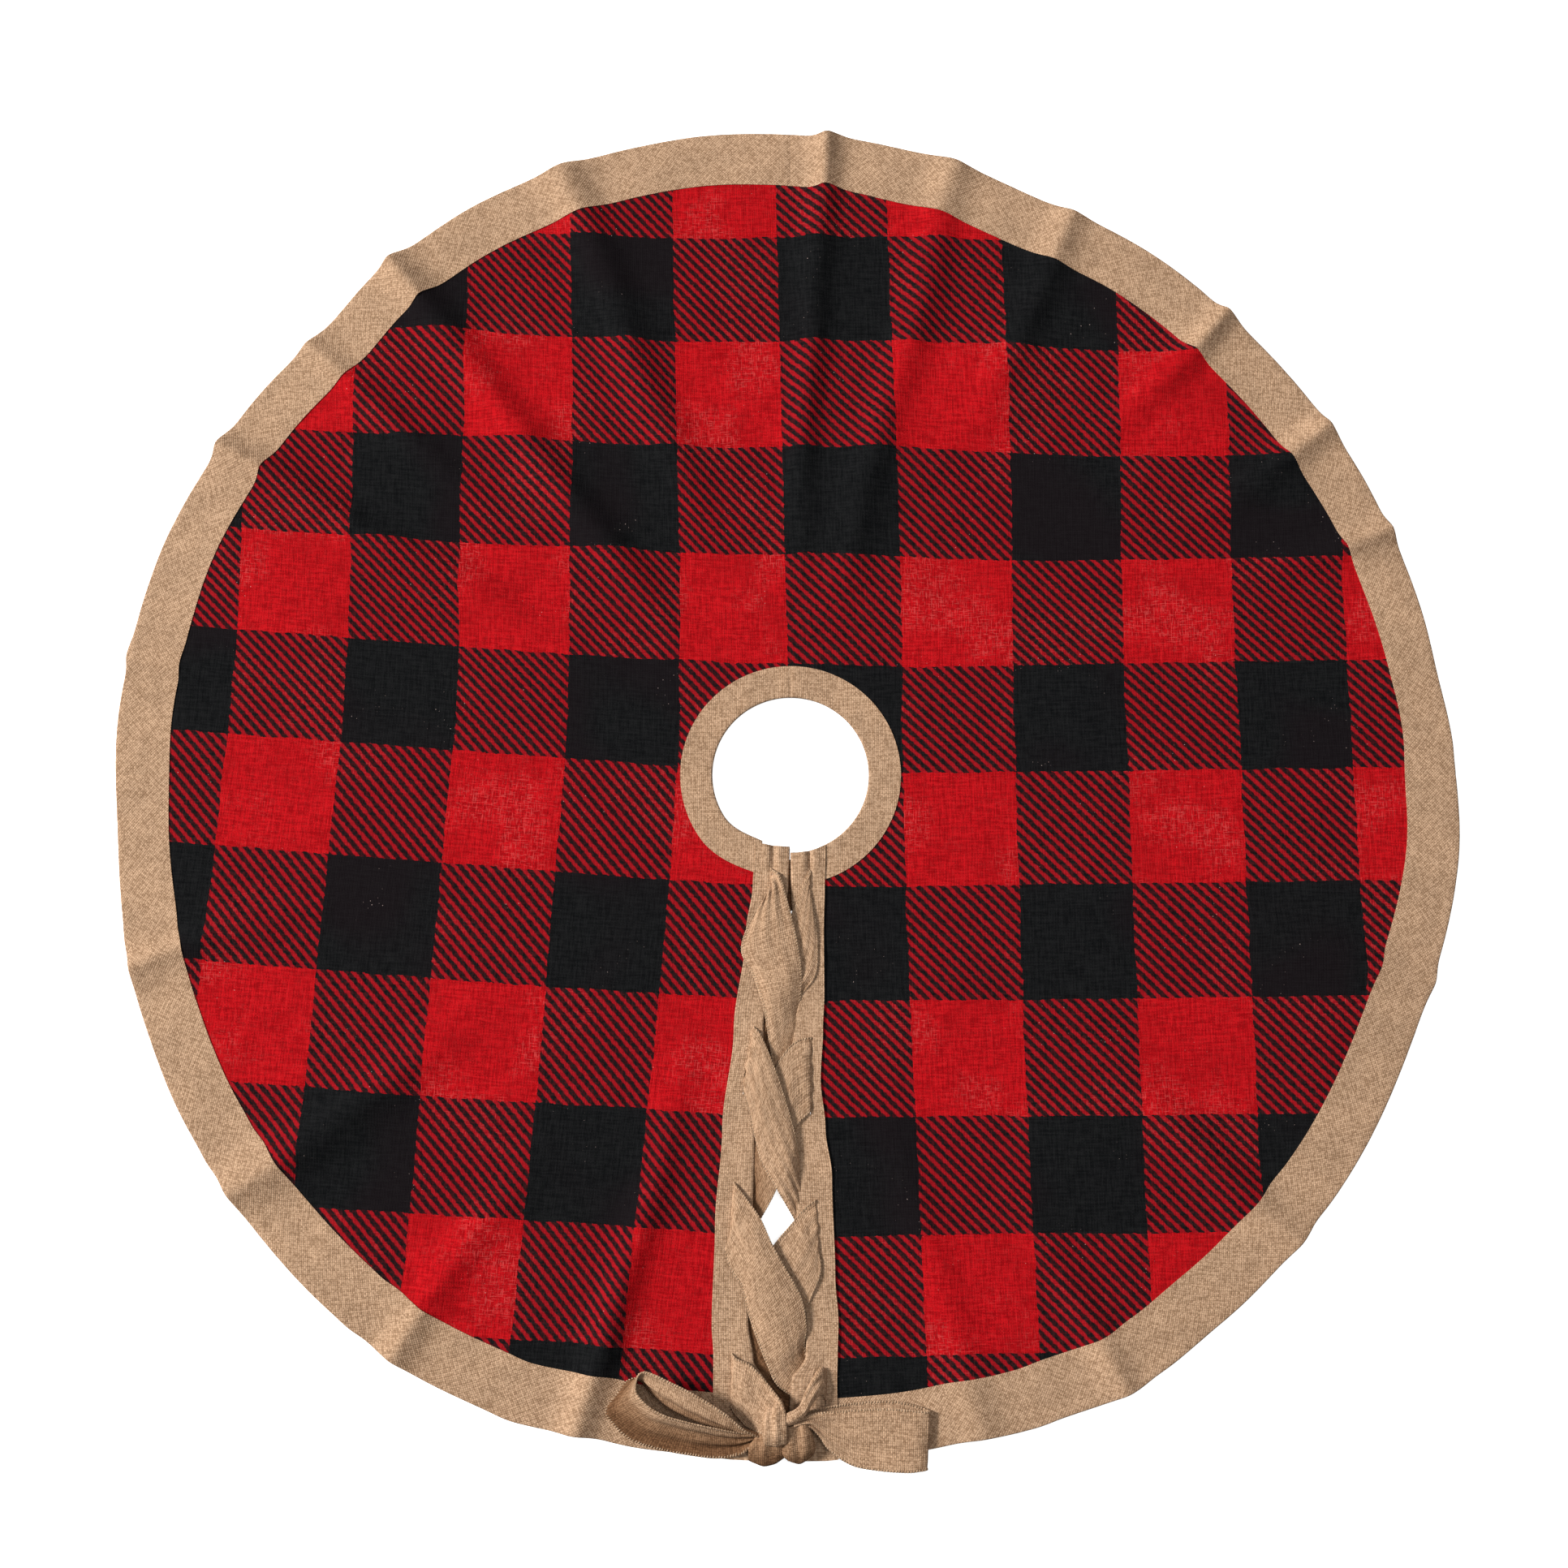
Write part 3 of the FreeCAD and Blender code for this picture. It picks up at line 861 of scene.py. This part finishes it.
def ribbon_grid(upper, lower, pleats, crowns, waves, turned, seed):
    """A ribbon between two edges. Pleats and crowns are heights, one for each point."""
    top, bottom, stations = side_lines(upper, lower, 2.4)
    grid = []
    for (middle, across, normal), at in zip(edge_frames(top, bottom), stations):
        pleat, crown = station_value(pleats, at), station_value(crowns, at)
        line = []
        for j in range(RIBBON_COLUMNS + 1):
            s = j / RIBBON_COLUMNS
            wave = math.cos(2 * math.pi * waves * s + seed) * pleat
            slack = noise.noise(Vector((s * 2.5 + seed, at * 0.9, seed)))
            arch = crown * (1 - (2 * s - 1) ** 2)
            inside = 1 - (2 * s - 1) ** 6
            offset = normal * turned * (wave + arch + slack * inside)
            line.append(above_floor(middle + across * (s - 0.5) + offset))
        grid.append(line)
    return grid


def arched_section(half_width, half_height, width):
    """Points across a bulging strand: an arc of an ellipse, as long as the strand is wide."""
    travelled = [(0.0, 0.0, half_height)]
    for degrees in range(4, 181, 4):
        angle = math.radians(degrees)
        x, z = half_width * math.sin(angle), half_height * math.cos(angle)
        run = travelled[-1][0] + math.hypot(x - travelled[-1][1], z - travelled[-1][2])
        travelled.append((run, x, z))
    section = []
    for j in range(STRAND_COLUMNS + 1):
        share = 2 * j / STRAND_COLUMNS - 1
        run = min(abs(share) * width / 2, travelled[-1][0] * 0.98)
        after = next(k for k, mark in enumerate(travelled) if mark[0] > run)
        (run0, x0, z0), (run1, x1, z1) = travelled[after - 1], travelled[after]
        t = (run - run0) / (run1 - run0)
        section.append((math.copysign(mix(x0, x1, t), share), mix(z0, z1, t)))
    return section


def strand_grid(upper, lower, heights, creases, width, seed):
    """A strand between two side lines that bulges by heights and is creased lengthwise."""
    top, bottom, stations = side_lines(upper, lower, 1.3)
    grid = []
    for (middle, across, normal), at in zip(edge_frames(top, bottom), stations):
        height, crease = station_value(heights, at), station_value(creases, at)
        sideways = across.normalized()
        section = arched_section(across.length / 2, height, width)
        line = []
        for j, (x, z) in enumerate(section):
            s = j / STRAND_COLUMNS
            fold = crease * math.cos(2 * math.pi * STRAND_CREASES * s + seed + 0.25 * at)
            slack = 0.5 * noise.noise(Vector((s * 4 + seed, at * 1.3, seed)))
            offset = normal * (z + (fold + slack) * math.sin(math.pi * s))
            line.append(above_floor(middle + sideways * x + offset))
        grid.append(line)
    return grid


def lengths_along(grid):
    """How far each row lies from the first, along the middle of the ribbon."""
    middle = len(grid[0]) // 2
    run = [0.0]
    for before, after in zip(grid, grid[1:]):
        run.append(run[-1] + (after[middle] - before[middle]).length)
    return run


def make_ribbon(name, grid, width, seed, material):
    """The mesh of a stretch of ribbon, and its length."""
    run = lengths_along(grid)
    columns = len(grid[0]) - 1

    def texture(i, j, position):
        """Each stretch shows a part of the weave of its own, set by its seed."""
        return run[i] + 97.0 * seed, j / columns * width

    return build_mesh(name, grid, RIBBON_THICKNESS, material, texture), run[-1]


def make_overlock(name, grid):
    """Small stitches wound over both edges of a ribbon, in one mesh."""
    points, faces = [], []
    for edge, next_in in ((0, 1), (RIBBON_COLUMNS, RIBBON_COLUMNS - 1)):
        travelled = 0.0
        due = STITCH_PITCH / 2
        for before, after in zip(grid, grid[1:]):
            start, end = before[edge], after[edge]
            length = (end - start).length
            while due <= travelled + length and length > 0:
                t = (due - travelled) / length
                at = start.lerp(end, t)
                inward = (before[next_in] - start).lerp(after[next_in] - end, t)
                add_stitch(points, faces, at, inward.normalized(), (end - start).normalized())
                due += STITCH_PITCH * random.uniform(0.85, 1.15)
            travelled += length
    mesh = bpy.data.meshes.new(name)
    mesh.from_pydata([point * MM for point in points], [], faces)
    layer = mesh.uv_layers.new(name="cloth")
    for loop in mesh.loops:
        vertex = mesh.vertices[loop.vertex_index].co
        layer.data[loop.index].uv = (vertex.x + vertex.z, vertex.y)
    return add_object(name, mesh, thread)


def add_stitch(points, faces, at, inward, along):
    """One stitch: a thick little loop of thread over the edge, slanting a little."""
    reach = random.uniform(2.2, 3.2)
    slant = along * random.uniform(0.2, 0.7)
    up = inward.cross(along).normalized()
    middle = at + inward * (reach / 2 - 0.45)
    half_long = inward * (reach / 2) + slant * 0.5
    wide = along * 0.80
    high = up * 1.05
    base = len(points)
    rings = ((-1.0, 0.0), (-0.82, 0.62), (-0.3, 1.0), (0.4, 0.95), (0.85, 0.5), (1.0, 0.0))
    sides = 6
    for position, size in rings[1:-1]:
        for k in range(sides):
            angle = 2 * math.pi * k / sides
            points.append(middle + half_long * position
                          + (wide * math.cos(angle) + high * math.sin(angle)) * size)
    points.append(middle - half_long)
    points.append(middle + half_long)
    inner_rings = len(rings) - 2
    for ring in range(inner_rings - 1):
        for k in range(sides):
            a, b = base + ring * sides + k, base + ring * sides + (k + 1) % sides
            faces.append((a, b, b + sides, a + sides))
    first, last = base + inner_rings * sides, base + inner_rings * sides + 1
    for k in range(sides):
        faces.append((first, base + (k + 1) % sides, base + k))
        ring = base + (inner_rings - 1) * sides
        faces.append((last, ring + k, ring + (k + 1) % sides))


def join_lace(piece, node, stitches):
    """Lets a piece of the ribbon stand for its node, and moves it and its stitches with the lace."""
    stands_for(piece, node, "burlap_ribbon")
    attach(piece, LACE)
    for trim in stitches:
        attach(trim, LACE)


def past_slit(edge):
    """An edge whose last point goes on a little under the cloth beyond its slit."""
    x, y, z = edge[-1]
    return edge[:-1] + [(x + math.copysign(PAST_SLIT, x), y, z)]


def raised(edge):
    """An edge of a strand that lies over another one."""
    return [(x, y, z + OVER_RISE * smooth_step(2, 6, z)) for x, y, z in edge]


def add_run(name, node, upper, lower, turned, seed, crowns=None, pleats=None, held_by_slits=True):
    """One stretch of the lacing, from its slit to the next.

    turned is 1 for a strand that lies over the others and -1 for one below.
    """
    middle_stations = len(upper) - 7
    if held_by_slits:
        upper, lower = past_slit(upper), past_slit(lower)
    pleats = pleats or [0.3, 0.35, 0.25, 0.15] + [0.1] * (middle_stations + 1) + [0.2, 0.3]
    if turned > 0:
        upper, lower = raised(upper), raised(lower)
        crowns = crowns or [0.0, 0.3, 1.8, 3.4] + [4.0] * middle_stations + [2.4, 0.6, 0.0]
    else:
        crowns = crowns or [0.0, 0.2, 1.0, 1.6] + [1.2] * middle_stations + [1.0, 0.3, 0.0]
    grid = ribbon_grid(upper, lower, pleats, crowns, RUN_PLEATS, turned, seed)
    piece, length = make_ribbon(name, grid, RIBBON_WIDTH, seed, ribbon)
    stitches = make_overlock(name + "_stitches", grid)
    join_lace(piece, node, [stitches])


def add_strand(name, node, upper, lower, heights, creases, seed, width, material):
    """A stretch that is folded in two lengthwise. Its outer layer is what is made."""
    grid = strand_grid(upper, lower, heights, creases, width, seed)
    piece, length = make_ribbon(name, grid, width, seed, material)
    join_lace(piece, node, [])


def add_loop(name, node, grid, seed, material):
    """A loop of the bow, open at both sides."""
    piece, length = make_ribbon(name, grid, RIBBON_WIDTH, seed, material)
    stitches = make_overlock(name + "_stitches", grid)
    join_lace(piece, node, [stitches])


def make_lacing():
    """Each run leaves a slit, opens out over the slit's edge and dives to the next slit."""
    gathered = [1.5, 1.5, 1.1, 0.5, 0.2, 0.1, 0.1, 0.1, 0.2, 0.3]
    add_run("ribbon_start", "lace_start",
            [(-16, -85, UNDER), (0, -77, UNDER), (17, -87, UNDER)],
            [(-16.5, -115, UNDER), (0, -123, UNDER), (17, -115, UNDER)], 1, 0.3,
            [0, 0, 0], [0.15, 0.1, 0.15])
    add_run("ribbon_a1", "lace_a1",
            [(-16, -85, UNDER), (-16, -86, 5), (-9, -93, 7.5), (-2.5, -116, 8.6), (5, -146, 9),
             (9.5, -174, 7.5), (9.3, -195, 4.4), (9, -212, 1.8), (13, -227, 1), (17.4, -237, UNDER)],
            [(-16.5, -114, UNDER), (-17, -115, 5), (-27, -119, 6), (-38, -136, 6.2), (-44, -159, 6),
             (-34, -180, 6), (-24, -210, 5.6), (-17, -252, 4), (-8, -288, 1.6), (17.4, -298, UNDER)],
            1, 1.1, pleats=gathered)
    add_run("ribbon_b1", "lace_b1",
            [(17, -87, UNDER), (17, -88, 5), (12, -98, 5.6), (3, -121, 6), (-8, -142, 5.6),
             (-16, -162, 5), (-20, -182, 3.6), (-24, -203, 1.6), (-28, -215, 1), (-32.5, -227, UNDER)],
            [(17, -115, UNDER), (17.5, -116, 5), (20.5, -124, 5.6), (24, -152, 5.6), (22.3, -180, 5.4),
             (9.5, -199, 5.2), (-2, -220, 5), (-11, -250, 3.4), (-24, -274, 1.4), (-41, -284, UNDER)],
            -1, 2.3, pleats=[0.5, 0.4, 0.2, 0.15, 0.3, 1.6, 2.0, 1.0, 0.3, 0.3])
    add_run("ribbon_b2", "lace_b2",
            [(-33, -227, UNDER), (-33, -226, 5), (-27, -232, 7), (-20, -247, 8.5), (-11, -270, 9.5),
             (-2, -298, 9), (5, -325, 6.5), (9, -346, 2.2), (15, -362, 1), (22, -377, UNDER)],
            [(-41, -280, UNDER), (-42, -281, 5), (-39, -290, 5.8), (-35, -305, 6), (-31, -324, 6),
             (-25, -345, 6), (-12.5, -366, 5.5), (0, -387, 4), (12, -408, 1.2), (23.6, -429, UNDER)],
            1, 3.2, pleats=[0.9, 0.8, 0.4, 0.2, 0.2, 0.2, 0.4, 0.7, 0.7, 0.7])
    add_run("ribbon_a2", "lace_a2",
            [(17.4, -236, UNDER), (17.4, -235, 5), (9, -236.5, 6), (-1, -243, 6.4), (-12, -259, 6.2),
             (-18, -280, 5.4), (-25, -299, 4.0), (-33, -318, 1.4), (-40, -340, 0.9), (-48.6, -362, UNDER)],
            [(17.4, -298, UNDER), (17.4, -300, 5), (11, -306, 5.6), (4, -314, 5.8), (-2, -330, 5.6),
             (-7, -349, 5.4), (-13, -368, 5), (-23, -387, 3.8), (-34, -403, 1.4), (-51.2, -417, UNDER)],
            -1, 4.4)
    add_run("ribbon_a3", "lace_a3",
            [(-48.6, -362, UNDER), (-48.4, -362, 5), (-37.5, -376, 6.8), (-26, -392, 8.2),
             (-15.2, -415, 9.2), (-3, -436, 9.4), (9, -458, 8), (13.5, -482, 6), (13, -505, 2),
             (28, -522, UNDER)],
            [(-51.2, -417, UNDER), (-52.7, -413, 4.8), (-57.3, -420, 6), (-51, -437, 6.4),
             (-42.5, -450, 6.4), (-36.5, -473, 6.6), (-30, -492, 6.8), (-21, -514, 6.2),
             (-8, -536, 4.4), (28, -556, UNDER)],
            1, 5.6)
    add_run("ribbon_b3", "lace_b3",
            [(21.8, -377, UNDER), (21.6, -376, 5), (12, -382.5, 5.8), (2.4, -394, 6), (-15, -414.5, 5.8),
             (-24, -430, 5), (-32, -448, 3.6), (-38, -468, 1.8), (-44, -490, 1), (-50.8, -507, UNDER)],
            # The lower edge runs wider than the ribbon, low under A3 and B4, so that the gap between them
            # shows this strand dark with painted shade instead of the floor.
            [(23.6, -429, UNDER), (24.4, -424, 5), (26, -432, 5.6), (24.6, -443, 5.8), (17, -461, 5.0),
             (11, -478, 2.6), (15, -500, 0.9), (15, -528, 0.9), (12, -556, 0.9), (-51.4, -556, UNDER)],
            -1, 6.1)


def make_bow():
    """The two last stretches, the knot, a hollow loop, a flat loop and two short ends."""
    add_run("ribbon_b4", "lace_b4",
            [(-50.5, -506, UNDER), (-50.4, -506, 5), (-46.5, -510, 6.6), (-36, -514, 7.6), (-26, -523, 8.6),
             (-18, -532, 11), (-10, -541, 15), (-6, -549, 19), (-4.5, -556, 20)],
            [(-51.6, -550, UNDER), (-51.6, -550, 5), (-49, -555, 6.4), (-44.5, -559.5, 7.6), (-39, -565, 9),
             (-33, -568, 11), (-27.5, -569.5, 14), (-24, -570.5, 17), (-22, -571.5, 18)],
            1, 7.7, [0, 0, 1.2, 2.4, 2.8, 2.4, 1.6, 1.0, 0], [0.3, 0.3, 0.2, 0.1, 0.2, 0.5, 0.9, 1.2, 1.4],
            held_by_slits=False)
    add_strand("ribbon_a4", "lace_a4",
               [(29.4, -546, UNDER), (29.4, -546, 4.6), (28, -540, 8), (23, -541, 11), (17, -548, 14),
                (11.5, -556, 17), (3, -561.5, 19), (-6, -564, 18)],
               [(30.4, -519, UNDER), (30.2, -518, 4.6), (25.6, -516.8, 8), (19.5, -524.3, 12),
                (13.4, -534.3, 15), (7.3, -547, 18), (-1.5, -552, 20), (-10, -554, 19)],
               [0.7, 0.8, 2.2, 3.0, 3.4, 3.8, 4.0, 3.6], [0, 0.1, 0.5, 0.8, 0.8, 0.8, 0.7, 0.4],
               8.8, FOLDED_WIDTH, ribbon)

    # The hollow loop stands on its foot and leans outwards, so that its inside shows
    rim = [(-27, -571, 15), (-37, -566, 20), (-45, -559.5, 24), (-55, -551, 27), (-72, -540, 29),
           (-88.5, -531, 30), (-102.5, -524.5, 30), (-116, -518.5, 29), (-125, -516.5, 27),
           (-130.5, -520, 26), (-132.5, -528, 26), (-131, -536, 27), (-121.5, -545.5, 29), (-108, -553, 30),
           (-95, -557, 30), (-78, -561.5, 29), (-61.5, -565.5, 26), (-46, -569.5, 21), (-33, -571, 16)]
    foot = [(-27, -574, 8), (-38, -573, 7), (-48, -571, 6.5), (-60, -569, 6.5), (-76, -565, 6.5),
            (-92, -558, 6.5), (-107, -549, 6.5), (-119, -539, 6.2), (-130, -528, 5.6), (-141, -529, 5.4),
            (-150, -540, 5.4), (-159.5, -553, 5.4), (-154, -563.5, 5.2), (-138, -577, 5),
            (-113, -585, 5), (-84, -590, 5), (-62, -591.8, 5.2), (-43, -588, 7), (-29, -577, 10)]
    bulge = [0.5, 1.5, 2.4, 3.4, 4.5, 5.0, 5.0, 4.5, 3.4, 2.6, 2.6, 3.4, 4.6, 5.2, 5.4, 5.2, 4.6, 4.2, 2.0]
    crumple = [1.8, 1.7, 1.5, 1.2, 1.0, 0.9, 0.8, 0.8, 0.7, 0.5, 0.4, 0.5, 0.6, 0.8, 0.9, 1.1, 1.4, 1.7, 1.8]
    grid = ribbon_grid(rim, foot, crumple, bulge, LOOP_PLEATS, -1, 9.2)
    add_loop("bow_left", "bow_loop_left", grid, 9.2, shaded_bow_ribbon)

    # The flat loop lies on the hem, its upper layer a little in front of its lower one
    upper = [(2, -560, 19), (8, -557.5, 18), (14.5, -555.5, 16), (22, -553.5, 14.5), (34, -552.6, 13),
             (54, -551.4, 12.2), (78, -550, 12), (101, -551.4, 12), (113, -552.6, 11.6), (119, -553.2, 9.4),
             (113, -550.6, 6.6), (94, -545.8, 6.6), (75, -545, 6.8), (54, -546.6, 7), (32, -549.6, 8),
             (16, -553, 10), (4, -559, 12)]
    lower = [(2, -566, 17), (9, -565.5, 16), (17, -566, 14.5), (25, -574, 12), (33, -585, 11),
             (52, -597.6, 10.6), (76, -602, 11), (99, -603.4, 11.4), (110, -602.6, 11), (116.5, -601.6, 9),
             (110, -599.6, 6), (94, -598, 5.6), (75, -596, 5.4), (52, -592, 5.6), (31, -580, 6.4),
             (17, -568, 8), (4, -565, 10)]
    bulge = [0.6, 1.2, 2.4, 3.0, 2.6, 2.0, 1.4, 0.8, 0.4, 0.0, 0.0, 0.2, 0.5, 0.6, 0.6, 0.4, 0.2]
    crumple = [1.4, 1.4, 1.3, 1.1, 0.8, 0.5, 0.3, 0.15, 0.1, 0.1, 0.1, 0.15, 0.2, 0.4, 0.8, 1.1, 1.2]
    grid = ribbon_grid(upper, lower, crumple, bulge, LOOP_PLEATS, 1, 10.5)
    add_loop("bow_right", "bow_loop_right", grid, 10.5, ribbon)

    add_strand("bow_end_left", "bow_tail_left",
               [(-10, -568, 15), (-3.5, -577, 13), (-0.4, -584, 9.6), (-3.4, -590, 6.4),
                (-12, -595.2, 4), (-15, -590, 2.4), (-14, -580, 2.4)],
               [(-27, -570, 15), (-35, -580, 13), (-39, -588, 9.6), (-36, -593.8, 6.4),
                (-27, -597.4, 4), (-27, -590, 2.4), (-26, -580, 2.4)],
               [2.0, 3.0, 3.6, 3.6, 2.8, 1.0, 0.8], [1.0, 0.9, 0.6, 0.3, 0.2, 0.1, 0.0],
               12.1, END_WIDTH, shaded_bow_ribbon)
    add_strand("bow_end_right", "bow_tail_right",
               [(13.5, -562, 17), (18.6, -573, 15.6), (20.6, -583.6, 12), (17.8, -590, 7.4),
                (10, -594.2, 4.2), (9, -588, 2.4), (9, -578, 2.4)],
               [(-4, -564, 17), (-6.6, -577, 16), (-7, -587, 12.4), (-4, -592.4, 7.4),
                (4, -595, 4.2), (3, -588, 2.4), (2, -578, 2.4)],
               [2.2, 3.2, 4.0, 3.8, 2.8, 1.0, 0.8], [1.0, 0.9, 0.6, 0.3, 0.2, 0.1, 0.0],
               13.7, END_WIDTH, shaded_bow_ribbon)
    add_strand("bow_wrap", "bow_knot",
               [(-8, -542, 14), (-5.5, -549, 20), (-4.2, -557, 22.6), (-3.4, -568, 22.8),
                (-3.8, -575.5, 19.5), (-4, -577.5, 14), (-5, -574, 9)],
               [(-19.5, -547, 12), (-22, -553, 18), (-24.6, -560, 21.4), (-24, -569, 22.4),
                (-23.4, -576, 19.5), (-23, -578, 14), (-22, -574, 9)],
               [1.4, 2.0, 2.8, 3.0, 2.8, 2.6, 1.6], [0.5, 0.7, 0.7, 0.6, 0.5, 0.4, 0.2],
               15.2, FOLDED_WIDTH, ribbon)


# --- Stage ----------------------------------------------------------------------------


def make_camera():
    """Looks down at the whole skirt, from a little in front of it."""
    elevation = math.radians(82.135)
    distance = 1636.8
    look_at = Vector((-5.9, -8.2, 0))
    data = bpy.data.cameras.new("camera")
    data.sensor_width = 36.0
    data.lens = 41.53
    camera = bpy.data.objects.new("camera", data)
    away = Vector((0, -math.cos(elevation), math.sin(elevation)))
    camera.location = (look_at + away * distance) * MM
    camera.rotation_euler = (math.pi / 2 - elevation, 0, 0)
    bpy.context.scene.collection.objects.link(camera)
    bpy.context.scene.camera = camera


def add_area_light(name, position, size, power, colour):
    """A round lamp aimed at the trunk's centre."""
    data = bpy.data.lights.new(name, "AREA")
    data.shape = "DISK"
    data.size = size
    data.energy = power
    data.color = colour
    light = bpy.data.objects.new(name, data)
    light.location = position
    light.rotation_euler = (-Vector(position)).to_track_quat("-Z", "Y").to_euler()
    bpy.context.scene.collection.objects.link(light)


def make_stage():
    """A white floor, an even sky and two lamps."""
    bpy.ops.mesh.primitive_plane_add(size=60.0, location=(0, 0, -0.0006))
    floor = bpy.context.object
    floor.name = "floor"
    floor.visible_diffuse = False       # it throws no light back on the cloth
    floor.visible_glossy = False
    floor.data.materials.append(floor_material())

    world = bpy.data.worlds.new("studio")
    world.use_nodes = True
    world.node_tree.nodes["Background"].inputs["Color"].default_value = (1, 1, 1, 1)
    world.node_tree.nodes["Background"].inputs["Strength"].default_value = 0.27
    bpy.context.scene.world = world
    bpy.context.scene.view_settings.view_transform = "Standard"
    add_area_light("key", (-8.0, 2.1, 5.4), 2.4, 1560.0, (1.0, 0.985, 0.96))
    add_area_light("fill", (1.0, 0.2, 3.4), 1.6, 22.0, (0.98, 0.99, 1.0))


random.seed(7)
make_camera()
make_stage()
check = check_cloth("printed_check")
lining = cotton("lining_cotton")
# Each burlap gets painted shade below the height given last. The bow's copy of the ribbon cloth is shaded up
# to 28 mm, so that its low loop and ends come out dark.
band = burlap("burlap_cloth", BAND_WEAVE, BAND_LIGHT, BAND_DARK, 2.2)
ribbon = burlap("burlap_ribbon_cloth", RIBBON_WEAVE, RIBBON_LIGHT, RIBBON_DARK, 6.8)
shaded_bow_ribbon = burlap("burlap_bow_shaded_cloth", RIBBON_WEAVE, RIBBON_LIGHT, RIBBON_DARK, 28.0)
thread = thread_material("overlock_thread")
make_laid_cloth(check, lining, band)
make_lacing()
make_bow()
